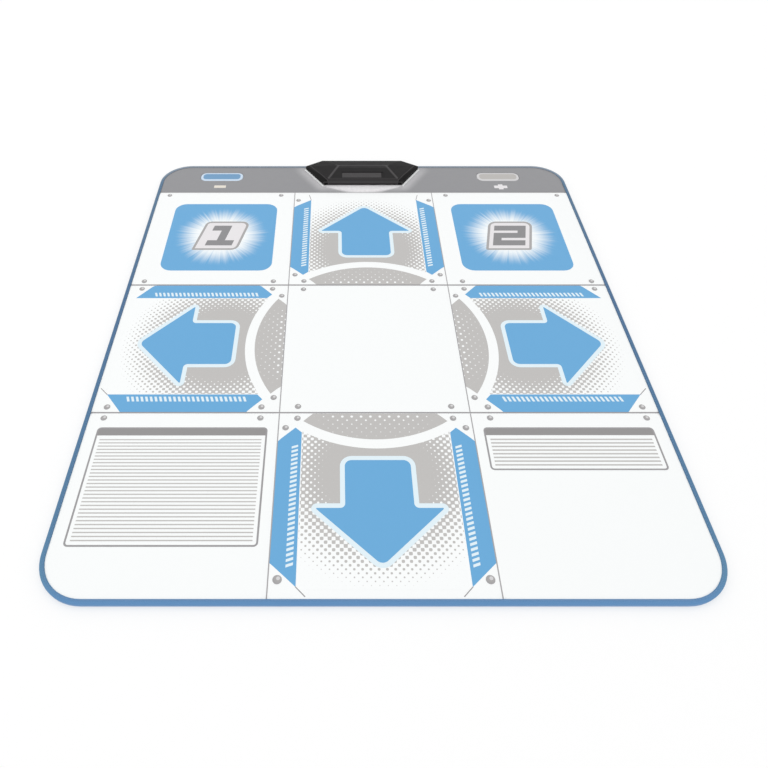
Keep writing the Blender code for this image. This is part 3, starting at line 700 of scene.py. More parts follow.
def camel(words):
    first, *rest = words.split("_")
    return first + "".join(word.title() for word in rest)


def cellName(row, number):
    return camel(rows[row][number].replace("_panel", "") + "_sheet")


def cell(row, number):
    # one printed cell: stations along y, and along x between the seam or rim on either side
    (low, high), inset = spans[row], mat["sheetInset"]
    bend = cornerStops("front", inset)[::-1] if row == "front" else np.array([low])
    y = np.concatenate([bend[:-1], stops(bend[-1], high, *seams[row])])
    rim = halfWidthAt(y, inset)
    left, right = (-rim, *columns, rim)[number:number + 2]
    widest = stops(np.min(left), np.max(right), number > 0, number < 2)
    u = (widest - widest[0]) / (widest[-1] - widest[0])
    left, right = (np.broadcast_to(side, len(y))[:, None] for side in (left, right))
    return piece(cellName(row, number), [grid(onCloth(left + u * (right - left), y[:, None]))], [paints["white"]])


# piece name: its node, third, place in the row and joint
cells = {cellName(row, k): (stem + "_sheet", row, k, stem.replace("panel", "press") if "panel" in stem else None)
         for row, stems in rows.items() for k, stem in enumerate(stems)}
for node, row, k, joint in cells.values():
    carried(cell(row, k), "printed_vinyl", row + "_section", [node], joint)
print("top cells:", len(cells))

# print: plans in millimetres from the middle of the centre cell, as the whole mat is laid out
arrowPrint = {
    "diagonal": 49.4, "segmentRadius": 182.0, "ringRadius": 197.0, "fieldHalf": 102.0, "fieldEnd": 392.0,
    "paleRows": ((8, 12), (18, 54)), "paleSides": (50, 90), "paleStep": 0.6, "fadeMiddle": 235.0,
    "fade": ((72, 79, 91, 97, 109, 121, 133, 139, 158), (1.0, 0.92, 0.73, 0.64, 0.53, 0.42, 0.28, 0.19, 0.0)),
    "segmentTone": (0.80, 1.0), "firstDots": 6.5, "shaftHalf": 44.0, "shaftEnd": 215.5, "headBase": 286.8,
    "headHalf": 82.4, "tip": 363.0, "middle": (0, 292), "outline": 6.5,
    "cornerRadius": 9.5, "neckRadius": 6.5, "headRadius": 1.0, "tipRadius": 10.0,
    "stripNear": ((103.0, 170.3), (112.0, 162.2), (135.3, 184.3)), "stripEdge": 135.3,
    "dashes": 26, "dashPlace": (111.6, 4.4), "dashSlant": (-3.3, -0.3, 3.3, 0.3), "cornerHalf": 0.6,
}
# each seam's place in the plan and the first of the fine steps that is used beside it
seamPlaces = {"column": (136.0, 1), "row": (136.5, 2)}
# stripFar holds the side strips' far ends at their outer and inner edge
panels = {
    "up": {"sheet": "upSheet", "stripFar": (363.0, 386.0), "dashSpan": (188, 357), "corners": ((4, 17), (4, 17))},
    "left": {"sheet": "leftSheet", "stripFar": (363.5, 389.5), "dashSpan": (188, 357), "corners": ((-11, 11), None)},
    "down": {"sheet": "downSheet", "stripFar": (359.5, 388.8), "dashSpan": (194, 362), "corners": ((-11, 11), (-11, 11))},
    "right": {"sheet": "rightSheet", "stripFar": (361.5, 389.0), "dashSpan": (189, 358), "corners": (None, (-11, 11))},
}
padPrint = {
    "middle": (266.4, 272.9), "half": (98.4, 99.3), "radius": 21.0,
    "plate": (41.3, 42.5), "plateLine": 4.6, "plateMiddle": (0.4, 0.2),
    "plateRadii": ((3, 12, 16, 10), (4, 4, 17, 14)), "slant": 0.21, "stroke": 15.0,
}
digits = {
    "leftPadSheet": ([(-15, 22), (3, 22), (3, -22)], [(-14, -22), (20, -22)]),
    "rightPadSheet": ([(-22, 22), (22, 22), (22, 0), (-22, 0), (-22, -22), (22, -22)],),
}
rivets = {
    "fourfold": ((162.5, 145.5), (162.5, 126.0), (110.0, 146.0), (110.0, 125.0), (146.0, 108.75), (126.0, 162.5),
                 (384.0, 145.5), (384.0, 126.0)),
    "twofold": ((384.0, 402.0), (163.0, 402.0), (128.0, 385.0)), "front": (125.0, -380.0, 5.6), "radius": 4.6,
    "parts": (("line", 1.0, 0, 0), ("rivet", 0.8, 0.12, 0.14), ("rivetLight", 0.42, 0.2, 0.28)),
}
# the ruled frames on the plain front cells: left, right, low, high, depth of the dark band, rules and their half height
frames = {
    "frontLeftSheet": (-387, -152, -338, -163, 12.5, 29, 0.9),
    "frontRightSheet": (151, 386, -230, -163, 12, 8, 1.15),
}
frameCorner, frameLine, ruleMargin, ruleEnds = 4.5, 1.2, 7, 6
printOn = {name: [] for name in cells}


def placed(plan):
    return np.asarray(plan, float) / 1000 + (0, mat["centre"])


def turned(plan, direction):
    # (s, d), d away from the middle, becomes (x, y): each panel is the up panel after quarter turns
    s, d = plan[..., 0], plan[..., 1]
    return placed(xy(*{"up": (s, d), "left": (-d, s), "down": (-s, -d), "right": (d, -s)}[direction]))


def quads(corners, name, lift):
    # separate four-cornered marks: corners is an (n, 4, 2) array of places
    points = onCloth(corners[..., 0], corners[..., 1], lift)
    return surface(points, np.arange(points[..., 0].size).reshape(-1, 4), ink(name))


def ribbon(path, half):
    # a stroke of even width: its sides are moved out by the mitre at each corner, its ends by half a width
    path = np.asarray(path, float)
    along = unit(np.diff(path, axis=0))
    path = np.concatenate([[path[0] - along[0] * half], path[1:-1], [path[-1] + along[-1] * half]])
    normal = leftOf(along)
    mitre = np.concatenate([normal[:1], normal]) + np.concatenate([normal, normal[-1:]])
    mitre = 2 * half * mitre / (mitre ** 2).sum(1)[:, None]
    return np.stack([path - mitre, path + mitre])


def arrowOutline(out=0.0):
    p = arrowPrint
    shaft, head, base = p["shaftHalf"], p["headHalf"], p["headBase"]
    corners = [(-shaft, p["shaftEnd"]), (shaft, p["shaftEnd"]), (shaft, base), (head, base), (0, p["tip"]),
               (-head, base), (-shaft, base)]
    radii = [p[kind + "Radius"] for kind in ("corner", "corner", "neck", "head", "tip", "head", "neck")]
    outward = np.array([1, 1, -1, 1, 1, 1, -1])
    return roundOutline(grown(np.array(corners), out), radii + outward * out, 7)


def arrowPanel(direction):
    # from the seam outwards: dotted segment, bare ring, halftone field with its arrow; then the side strips
    p, own, steps = arrowPrint, panels[direction], fineSteps * 1000
    order = ("column", "row") if direction in ("left", "right") else ("row", "column")
    (seam, first), (sideSeam, last) = (seamPlaces[kind] for kind in order)

    def laid(plan, name, lift, tone=1.0, closed=False, origin=(0, 0)):
        return inked(turned(plan, direction), name, lift, tone, closed, (plan - origin) / 1000)

    u = np.linspace(-1, 1, 27)
    d = (seam + steps[first:])[:, None]
    near = xy(u * (d - p["diagonal"]), d)
    reach = u * (np.sqrt(2 * p["segmentRadius"] ** 2 - p["diagonal"] ** 2) - p["diagonal"]) / 2
    plan = np.concatenate([near, between(near[-1], xy(reach, np.sqrt(p["segmentRadius"] ** 2 - reach ** 2)), 6)[1:]])
    # paler beside the seam in two steps, but not towards the sides
    nearStep, farStep = (rise(plan[..., 1] - seam, *ends) for ends in p["paleRows"])
    pale = (1 - p["paleStep"] * nearStep) * (1 - farStep) * (1 - rise(np.abs(plan[..., 0]), *p["paleSides"]))
    low, high = p["segmentTone"]
    tone = high + (low - high) * pale
    made = [laid(plan, "segment", 1, tone, origin=(0, seamPlaces["row"][0] + p["firstDots"]))]

    s = np.linspace(-p["fieldHalf"], p["fieldHalf"], 51)
    plan = between(xy(s, np.sqrt(p["ringRadius"] ** 2 - s ** 2)), xy(s, p["fieldEnd"]), 50)
    made.append(laid(plan, "field", 1, np.interp(np.hypot(plan[..., 0], plan[..., 1] - p["fadeMiddle"]), *p["fade"])))
    for out, name, lift in ((p["outline"], "halo", 2), (0, "blue", 3)):
        made.append(laid(between(p["middle"], arrowOutline(out)), name, lift, closed=True))

    (start, _), (bend, _), _ = p["stripNear"]
    shoulder = (sideSeam - steps[last:])[::-1]
    s = np.concatenate([np.linspace(start, bend, 4), np.linspace(bend, shoulder[0], 4)[1:-1], shoulder])
    nearEdge = np.interp(s, *np.transpose(p["stripNear"])) + np.maximum(s - p["stripEdge"], 0)
    outer, inner = own["stripFar"]
    farEdge = np.interp(s, (start, p["stripEdge"]), (inner, outer))
    across, dashHalf = p["dashPlace"]
    d = np.linspace(*own["dashSpan"], p["dashes"])[:, None]
    for sign, corner in zip((-1, 1), own["corners"]):
        made.append(laid(between(xy(sign * s, nearEdge), xy(sign * s, farEdge), 9), "blue", 1))
        dash = xy(sign * (across + dashHalf * square[:, 0]), d + np.array(p["dashSlant"]) * sign)
        made.append(quads(turned(dash, direction), "halo", 2))
        if corner:
            ends = [(sign * start, inner), (sign * (start + corner[0]), inner + corner[1])]
            made.append(inked(turned(ribbon(ends, p["cornerHalf"]), direction), "fold", 2, closed=False))
    return made


def disc(middle, radius, name, lift):
    middle = np.asarray(middle, float)
    circle = middle + radius * ray(np.linspace(0, 2 * np.pi, 16, endpoint=False))
    return inked(placed(between(middle, circle)), name, lift)


def rivet(x, y, radius=rivets["radius"]):
    # onto the cell that holds its place
    column, row = seamPlaces["column"][0], seamPlaces["row"][0]
    third = "back" if y > row else "middle" if y > -row else "front"
    name = cellName(third, 0 if x < -column else 2 if x > column else 1)
    for lift, (paint, size, right, up) in enumerate(rivets["parts"]):
        printOn[name].append(disc((x + right * radius, y + up * radius), size * radius, paint, 4 + lift))


for direction, own in panels.items():
    printOn[own["sheet"]] += arrowPanel(direction)
for sign, (name, paths), radii in zip((-1, 1), digits.items(), padPrint["plateRadii"]):
    middle = np.array(padPrint["middle"]) * (sign, 1)
    plan = between(middle, roundOutline(middle + padPrint["half"] * square, padPrint["radius"]), 3)
    marks = [inked(placed(plan), "burst", 1, uv=(plan - middle) / 1000)]
    # the slanted plate: a line, its field, then the digit's strokes
    lean, middle = np.array([[1, 0], [padPrint["slant"], 1]]), middle + padPrint["plateMiddle"]
    for inset, colour, lift in ((0, "rivet", 2), (padPrint["plateLine"], "sign", 3)):
        plate = roundOutline(square * (np.array(padPrint["plate"]) - inset), np.maximum(np.array(radii) - inset, 1.0))
        marks.append(inked(placed(between(middle, plate @ lean + middle)), colour, lift))
    for lift, path in enumerate(paths):
        stroke = ribbon(path, padPrint["stroke"] / 2) @ lean + middle
        marks.append(inked(placed(stroke), "mark", 4 + 0.5 * lift, closed=False))
    printOn[name] += marks
for flip in (-1, 1):
    for x, y in rivets["fourfold"]:
        rivet(flip * x, y)
        rivet(flip * x, -y)
    for x, y in rivets["twofold"]:
        rivet(flip * x, y)
    x, y, radius = rivets["front"]
    rivet(flip * x, y, radius)
for name, (left, right, low, high, strip, rules, thick) in frames.items():
    rim = roundOutline([(left, low), (right, low), (right, high), (left, high)], frameCorner, 5)
    top = high - strip
    band = roundOutline([(left, top), (right, top), (right, high), (left, high)], [0, 0, frameCorner, frameCorner], 5)
    y = np.linspace(top - ruleMargin, low + ruleMargin, rules)[:, None]
    ends = np.array([left + ruleEnds, right - ruleEnds])[[0, 1, 1, 0]]
    printOn[name] += [
        quads(placed(xy(ends, y + thick * square[:, 1])), "grey", 1),
        inked(placed(between((0.5 * (left + right), high - 0.5 * strip), band)), "dark", 1),
        inked(placed(between(grown(rim, -frameLine), grown(rim, frameLine))), "fold", 2),
    ]

laidOn = {}
for name, (node, row, k, joint) in cells.items():
    if printOn[name]:
        printed = piece(name.replace("Sheet", "Print"), printOn[name], inkList)
        laidOn[name] = [carried(printed, "printed_vinyl", row + "_section", joint=joint)]
for row, (low, high) in spans.items():
    # grey lines over the column welds, and over the header's seam
    lines = [inked(np.stack([xy(x - mat["lineHalf"], (low, high)), xy(x + mat["lineHalf"], (low, high))]), "line", 2,
                   closed=False) for x in columns]
    if row == "back":
        rim = float(halfWidthAt(high, mat["tapeInset"]))
        lines.append(inked(ribbon([(-rim, high), (rim, high)], mat["lineHalf"]), "line", 2.2, closed=False))
    carried(piece(row + "SeamLines", lines, inkList), "printed_vinyl", row + "_section")
print("print:", sum(len(s) for s in printOn.values()), "marks")

# fold strips: the printed welds that the mat folds along
foldRows = np.array([-2, -1.5, -1.1, -0.75, -0.35, 0, 0.35, 0.75, 1.1, 1.5, 2]) / 1000
below, above = slice(0, 4), slice(7, 11)
# each fold's line, the rows on the side of its outer panel, and those on the side of the middle third
foldMarks = {"middleFold": (slice(1, 10), above, below), "frontFold": (slice(4, 11), below, above)}
foldReach, stripReach = mat["halfWidth"] - 0.0062, (0.1849, 0.3611)


def foldStrip(name):
    half, rowsAt = mat["halfWidth"] - mat["sheetInset"], mat[name] + foldRows
    line, outer, inner = foldMarks[name]
    across = [stops(-half, columns[0], 0, 1), stops(*columns, 1, 1)[1:], stops(columns[1], half, 1, 0)[1:]]
    strip = piece(name + "Weld", [grid(onCloth(np.concatenate(across), rowsAt[:, None]))], [paints["white"]])

    def mark(x, chosen, colour, lift, start=mat["centre"]):
        plan = xy(x, rowsAt[chosen][:, None])
        return inked(plan, colour, lift, closed=False, uv=plan - (0, start))

    # the segment of the panel beyond the fold, and the side strips of the two panels on this side of it
    reach = np.abs(rowsAt[outer] - mat["centre"])[:, None] - arrowPrint["diagonal"] / 1000
    marks = [mark(np.linspace(-foldReach, foldReach, 9), line, "fold", 3),
             mark(np.linspace(-1, 1, 27) * reach, outer, "grey", 1, 0)]
    for sign in (-1, 1):
        marks.append(mark(sign * np.linspace(*stripReach, 7), inner, "blue", 1))
        for chosen in (below, above):
            marks.append(mark(sign * columns[1] + np.array([-1, 1]) * mat["lineHalf"], chosen, "line", 2))
    both = (strip, piece(name + "Print", marks, inkList))
    return [folded(made, "printed_vinyl", name, mat["weldHalf"], mat["weld"]) for made in both]


strips = [made for name in folds for made in foldStrip(name)]
for name, (node, *_) in cells.items():
    shown = bpy.data.objects[name]
    size = np.ptp(np.array([v.co[:2] for v in shown.data.vertices]), axis=0)
    extra = laidOn.get(name, []) + (strips if name == "centreSheet" else [])
    under = node.replace("_panel_sheet", "_contact_film") if "panel" in node else node.replace("_sheet", "_filler_foam")
    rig.sheet(shown, [float(v) for v in size], "laid", [under], with_pieces=extra)
print("fold strips:", list(folds))

# header band, its two pill buttons and the box's outline
box = {
    # bandWidth and bandTint: the width and colour of the painted shade along the box's slanted sides
    "bandWidth": 0.0077, "bandTint": (9, 8, 8), "frontWidth": 0.158, "tipWidth": 0.233, "rearWidth": 0.166,
    "front": 0.3815, "tip": 0.4405, "rear": 0.4615, "notch": 0.0083, "wallTop": 0.0134, "roof": 0.0184, "low": 0.0067,
    "roofCorners": ((-0.070, 0.3865), (0.070, 0.3865), (0.049, 0.4355), (-0.049, 0.4355)),
    # the regions of light, shade and tone: their ranges in x, y and z, and their dark and light colours; the front wall
    # and facet painted lighter as lit, the lower walls behind them painted near black as shade, a paler strip along the
    # roof's rear edge, and the lighter plate in the roof's recess
    "tints": (
        (((-0.2, 0.2), (0.37, 0.3862), (0.0, 0.0190)), (46, 44, 45), (58, 56, 57)),
        (((-0.2, 0.2), (0.3845, 0.5), (0.0, 0.0133)), (9, 8, 8), (13, 11, 12)),
        (((-0.050, 0.050), (0.4270, 0.4352), (0.0170, 0.0190)), (36, 34, 35), (50, 48, 49)),
        (((-0.0415, 0.0375), (0.3900, 0.4085), (0.0165, 0.0182)), (50, 48, 49), (86, 84, 85)),
    ),
}
pill = {
    "half": (0.043, 0.0145), "radius": 0.012, "gap": 0.0003, "y": 0.4120, "minus": -0.288, "plus": 0.278,
    "patch": (0.052, 0.0205), "patchStep": 0.006, "crown": 0.0006, "low": 0.0061, "crownRun": 0.0062, "edge": 0.0003,
    "skirt": 0.0004, "lip": 0.0005, "closing": (0.031, 0.013), "ringRows": 6,
    "rings": np.array([0, 0.4, 1.1, 2.2, 3.6, 5.0, 6.4, 9.0, 12.0]) / 1000,
}
# the printed light: its reach beside the box and before it, and how strong it is at the sides, behind and in front
glow = {
    "side": (0.004, 0.027), "back": (0.415, 0.450), "across": (0.072, 0.084), "reach": 0.027, "leastReach": 0.003,
    "reachShares": (0.7, 1.2), "strengths": (0.42, 0.6, 0.95), "frontRow": 0.002, "line": (-0.0040, -0.0002),
}
# each sign's place in y, its half length across and up, its half thickness and its paint
signs = {"minus": (0.3765, 0.0118, 0, 0.0044, "cream"), "plus": (0.3758, 0.0132, 0.0088, 0.0046, "sign")}
signRadius = 0.0008


def boxOutline(frontInset, rearInset=0.0):
    # the box's hexagon with its sides moved in: each corner is where two moved sides cross
    f, t, r = box["frontWidth"] / 2, box["tipWidth"] / 2, box["rearWidth"] / 2
    front, tip, rear = box["front"], box["tip"], box["rear"]
    corners = np.array([(-f, front), (f, front), (t, tip), (r, rear), (-r, rear), (-t, tip)])
    normal = leftOf(unit(np.roll(corners, -1, 0) - corners))
    reach = (normal * corners).sum(1) + np.array([frontInset] * 2 + [rearInset] * 3 + [frontInset])
    both = np.stack([np.roll(normal, 1, 0), normal], 1)
    return np.linalg.solve(both, xy(np.roll(reach, 1), reach)[..., None])[..., 0]


def boxHalf(y, frontInset):
    # half width of that hexagon at y
    side = boxOutline(frontInset)[1:4]
    return np.interp(y, side[:, 1], side[:, 0])


def distanceTo(outline, x, y):
    # least distance to the edges; on each one a + t (b - a) with t held to 0..1
    a, b = outline, np.roll(outline, -1, 0)
    p = xy(x, y)[..., None, :]
    t = np.clip(((p - a) * (b - a)).sum(-1) / ((b - a) ** 2).sum(-1), 0, 1)[..., None]
    return np.linalg.norm(p - a - t * (b - a), axis=-1).min(-1)


def glowAt(x, y):
    # pale beside the box, weaker toward the back, nearly white before its front edge with a reach of 1 - x^2
    beside, behind, ahead = glow["strengths"]
    side = beside * (1 - rise(distanceTo(boxOutline(0), x, y), *glow["side"])) * (1 - behind * rise(y, *glow["back"]))
    reach = np.maximum(glow["reach"] * (1 - (x / glow["across"][1]) ** 2), glow["leastReach"])
    near, far = (share * reach for share in glow["reachShares"])
    front = (1 - rise(box["front"] - y, near, far)) * (1 - rise(np.abs(x), *glow["across"]))
    return np.maximum(side, ahead * front * (y < box["front"] + glow["frontRow"]))


def pillOutline(middle, grow):
    # four quarter arcs of radius r + grow about fixed corner centres
    angle = np.pi + np.arange(4)[:, None] * np.pi / 2 + np.linspace(0, np.pi / 2, 7)
    centres = square[:, None] * (np.array(pill["half"]) - pill["radius"])
    arcs = centres + max(pill["radius"] + grow, 0) * ray(angle)
    return arcs.reshape(-1, 2) + (middle, pill["y"])


def patchOutline(middle):
    # a rectangle with as many points: three steps before and three after each corner
    k = np.arange(7)
    upright = xy(np.maximum(k - 3, 0), np.maximum(3 - k, 0)) * pill["patchStep"]
    inward = np.stack([upright, upright[:, ::-1]] * 2)
    return (square[:, None] * (np.array(pill["patch"]) - inward)).reshape(-1, 2) + (middle, pill["y"])


def patchStops(middle, half):
    # three steps in from either side of the patch
    steps = pill["patchStep"] * np.arange(4)
    return np.concatenate([middle - half + steps, middle + half - steps[::-1]])


def headerSheet():
    def tile(x, y, closed=False):
        points = onCloth(x, y)
        return grid(points, 0, glowAt(points[..., 0], points[..., 1]), closed=closed)

    inset, (patchX, patchY) = mat["sheetInset"], pill["patch"]
    notchFront, high = boxOutline(box["notch"])[0, 1], pill["y"] + patchY
    bend = cornerStops("back", inset, 17)
    front = np.array([notchFront, pill["y"] - patchY])
    behind = np.concatenate([[high], bend[bend > high + 0.001]])
    tiles, ends = [], []
    for sign, middle in ((-1, -pill["minus"]), (1, pill["plus"])):
        fixed = patchStops(middle, patchX)

        def across(y):
            # x along each row: from the notch to the pill's patch, over the patch, and out to the rim
            y = np.asarray(y)[:, None]
            notch = boxHalf(y, box["notch"])
            return [sign * part for part in (
                notch + np.linspace(0, 1, 25) * (fixed[0] - notch),
                np.broadcast_to(fixed[1:-1], (len(y), len(fixed) - 2)),
                fixed[-1] + np.linspace(0, 1, 10) * (halfWidthAt(y, inset) - fixed[-1]))]

        ends.append(np.concatenate(across(front), 1)[0])
        tiles += [tile(np.concatenate(across(y), 1), y[:, None]) for y in (front, behind)]
        beside = patchStops(pill["y"], patchY)
        tiles += [tile(across(beside)[part], beside[:, None]) for part in (0, 2)]
        ring = between(pillOutline(sign * middle, pill["gap"]), patchOutline(sign * middle), 5)
        window = tile(np.append(ring[:1, :, 0], ring[..., 0], 0), np.append(ring[:1, :, 1], ring[..., 1], 0), True)
        window["points"][:ring.shape[1], 2] -= pill["lip"]
        tiles.append(window)
    row = np.concatenate([ends[0][::-1], np.linspace(ends[0][0], ends[1][0], 45)[1:-1], ends[1]])
    tiles.append(tile(row, stops(mat["header"], notchFront, 1, 0, 0.003)[:, None]))
    return piece("headerSheet", tiles, [finishes["header"]])


def pillSheet(name, middle, colour, ring):
    # rings of the outline moved in; height rises as 1 - (1 - t)^2 over the pale ring, and the last ring closes on a line
    rings = np.stack([pillOutline(middle, -g) for g in pill["rings"]])
    closingHalf, closingPlace = pill["closing"]
    closing = xy(np.clip(rings[-1, :, 0], middle - closingHalf, middle + closingHalf), pill["y"])
    rings = np.concatenate([rings, closing[None]])
    t = np.append(pill["rings"], closingPlace) / pill["crownRun"]
    z = pill["low"] + pill["crown"] * crowned(t) + pill["edge"] * np.clip(3 * t, 0, 1)
    points = np.dstack([rings, np.broadcast_to(z[:, None], rings.shape[:2])])
    points = np.concatenate([points[:1] - (0, 0, pill["skirt"]), points])
    paint = np.where(np.arange(len(points) - 1) < pill["ringRows"], ink(ring), ink(colour)).repeat(rings.shape[1])
    stem = name.replace("Pill", "")
    made = piece(name, [grid(points, paint, closed=True)], inkList)
    carried(made, "button_print", stem + "_button", [stem + "_button_sheet"])
    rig.sheet(made, (2 * pill["half"][0], 2 * pill["half"][1]), "laid", [stem + "_contact_film"])


def signPrint(kind):
    # a minus bar, or a plus whose arms share one outline
    y, across, up, thick, colour = signs[kind]
    corners = square * (across, thick)
    if up:
        corners = [(-across, -thick), (-thick, -thick), (-thick, -up), (thick, -up), (thick, -thick), (across, -thick),
                   (across, thick), (thick, thick), (thick, up), (-thick, up), (-thick, thick), (-across, thick)]
    place = np.array([pill[kind], y])
    return inked(between(place, roundOutline(corners, signRadius, 3) + place), colour, 1)


header = carried(headerSheet(), "header_print", "back_section", ["header_sheet"])
pillSheet("minusPill", pill["minus"], "pillBlue", "pale")
pillSheet("plusPill", pill["plus"], "pillGrey", "rivetLight")
outer, inner = (boxOutline(d) for d in glow["line"])
brightLines = quads(np.array([[inner[k], inner[m], outer[m], outer[k]] for k, m in ((5, 0), (1, 2))]), "white", 1)
signPieces = [brightLines, signPrint("minus"), signPrint("plus")]
carried(piece("headerSigns", signPieces, inkList), "header_print", "back_section")
bandSize = (2 * (mat["halfWidth"] - mat["sheetInset"]), mat["back"] - mat["header"] - mat["sheetInset"])
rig.sheet(header, bandSize, "laid", ["header_filler_foam"], area=0.0622)
print("header: band and 2 pills")

# underside
skin = {
    "rimHeight": 0.0007, "rimFlat": 0.0066, "rimRun": 0.0013, "foldHalf": 0.0035, "seat": 0.002,
    "dotMargins": (0.011, 0.013), "foldMargin": 0.004, "backRows": 0.009,
    "insets": np.array([mat["sheetInset"], 0.0066, 0.0069, 0.0072, 0.0075, 0.0079]),
}


def rimDistance(x, y):
    # distance in from the rim of the round-cornered mat
    x, y = np.broadcast_arrays(np.abs(x), y)
    d = np.min([mat["halfWidth"] - x, y - mat["front"], mat["back"] - y], axis=0)
    for end, way in (("front", 1), ("back", -1)):
        radius = mat[end + "Radius"]
        dx, dy = x - (mat["halfWidth"] - radius), way * (mat[end] + way * radius - y)
        d = np.where((dx > 0) & (dy > 0), radius - np.hypot(dx, dy), d)
    return d


def baseSkin(name, end, fold, nodes):
    # rows follow y; the sheet is flat on the floor and rises at the rim as 3 t^2 - 2 t^3 to lie on the tape
    insets, back = skin["insets"], end == "back"
    seat = boxOutline(skin["seat"])[:, 1]
    fine = np.linspace(-skin["foldHalf"], skin["foldHalf"], 17) + mat[fold]
    inward = -insets if back else insets
    edge = np.sort(np.concatenate([mat[end] + inward, cornerStops(end, insets[-1], 10)[:-1]]))
    if back:
        edge = np.unique(np.concatenate([edge, np.linspace(seat[0], mat["back"] - skin["backRows"], 8), seat[2:3]]))
        y = np.concatenate([np.linspace(mat["centre"], fine[0], 10)[:-1], fine,
                            np.linspace(fine[-1], seat[0], 18)[1:-1], edge[edge >= seat[0]]])
        cut = int(np.searchsorted(y, seat[0] - 1e-9))  # the row where the box's opening starts
        parts = [slice(0, cut + 1), slice(cut, None)]
    else:
        y = np.concatenate([edge, np.linspace(edge[-1], fine[0], 12)[1:-1], fine,
                            np.linspace(fine[-1], mat["centre"], 10)[1:]])
        parts = [slice(None)]
    ahead = np.stack([halfWidthAt(y, inset) for inset in insets], 1)
    y, share = y[:, None], np.linspace(1, 0, 21)[1:]
    surfaces = []
    for sign in (-1, 1):
        for number, part in enumerate(parts):
            # beside the opening the rows stop at it
            hole = boxHalf(y[part], skin["seat"]) if number else 0
            x = np.concatenate([ahead[part], hole + share * (ahead[part, -1:] - hole)], 1)
            d = rimDistance(x, y[part])
            z = skin["rimHeight"] * (1 - rise(d, skin["rimFlat"], skin["rimFlat"] + skin["rimRun"]))
            toFold = np.min([np.abs(y[part] - mat[f]) for f in folds], axis=0)
            tone = rise(np.minimum(d, toFold + skin["foldMargin"]), *skin["dotMargins"])
            half = faceUp(grid(np.dstack([sign * x, y[part] + 0 * x, z]), 0, tone))
            half["faces"] = half["faces"][:, ::-1]
            surfaces.append(half)
    made = piece(name, surfaces, [finishes["base"]], up=False)
    folded(made, "non_slip_base", fold, skin["foldHalf"], 0, nodes)
    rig.sheet(made, (2 * (mat["halfWidth"] - mat["sheetInset"]), float(np.ptp(y))), "laid", [])


baseSkin("baseSkinBack", "back", "middleFold", ("base_sheet_back", "base_sheet_middle"))
baseSkin("baseSkinFront", "front", "frontFold", ("base_sheet_front", "base_sheet_middle"))
print("underside done")

# binding tape with its row of stitches
tape = {
    "profile": ((6.5, 0.4), (0.9, 0.4), (0.4, 0.9), (0.4, 6.2), (0.9, 6.7), (6.5, 6.7), (6.5, 7.1), (1.3, 7.1),
                (0.65, 6.95), (0.2, 6.5), (0, 5.8), (0, 1.3), (0.2, 0.6), (0.65, 0.15), (1.3, 0), (6.5, 0)),
    "foldHalf": 0.004, "top": 0.0071, "endStops": ((0.112, 22), (0.110, 0.0974, 5)),
}
stitch = {"length": 0.0031, "width": 0.0006, "height": 0.00022, "inset": 0.0047, "pitch": 0.0044, "sunk": 0.00002,
          "ends": (0.006, 0.008)}


def rimPath(side, low, high):
    # the rim's points and outward directions along one side; without a low it starts at the front's middle, and
    # without a high it goes on to the box
    half, frontR, backR = mat["halfWidth"], mat["frontRadius"], mat["backRadius"]
    fine = np.linspace(-tape["foldHalf"], tape["foldHalf"], 17)
    lines = np.concatenate([fine + mat[f] for f in folds] + [np.arange(-0.4, 0.4, 0.012)])
    start = mat["front"] + frontR if low is None else low
    end = mat["back"] - backR if high is None else high
    y = np.unique(np.concatenate([[start], lines[(lines > start + 0.001) & (lines < end - 0.001)], [end]]))
    turn = ray(np.linspace(0, np.pi / 2, 15))

    def run(x, y, out):
        return np.hstack([xy(x, y), np.broadcast_to(out, (np.broadcast(x, y).size, 2))])

    path = [run(half, y, (1, 0))]
    if low is None:
        down = turn[::-1] * (1, -1)
        bend = np.hstack([np.array([half - frontR, start]) + frontR * down, down])
        path = [run(np.linspace(0, half - frontR, 28), mat["front"], (0, -1))[:-1], bend[:-1]] + path
    if high is None:
        (near, count), last = tape["endStops"]
        bend = np.hstack([np.array([half - backR, end]) + backR * turn, turn])
        x = np.concatenate([np.linspace(half - backR, near, count), np.linspace(*last)])
        path += [bend[1:], run(x, mat["back"], (0, 1))[1:]]
    return np.concatenate(path) * (side, 1, side, 1)


def tapeSurfaces(path):
    # carries the C profile along the rim: rim point - inset * outward direction; its end is cut on the box's slant
    profile = np.array(tape["profile"]) / 1000
    inset, z = profile.T
    plan = path[:, None, :2] - inset[None, :, None] * path[:, None, 2:]
    sign = np.sign(path[len(path) // 2, 0])
    onBack = (path[:, 1] > mat["back"] - 1e-6)[:, None]
    x = plan[..., 0]
    plan[..., 0] = np.where(onBack, sign * np.maximum(np.abs(x), boxHalf(plan[..., 1], 0)), x)
    points = np.dstack([plan, np.broadcast_to(z, plan.shape[:2])])
    uv = xy(walked(path[:, :2])[:, None], walked(profile))
    return [grid(points, 0, uv=uv), grid(points[:, [-1, 0]], 0, uv=uv[:, [-1, 0]])]


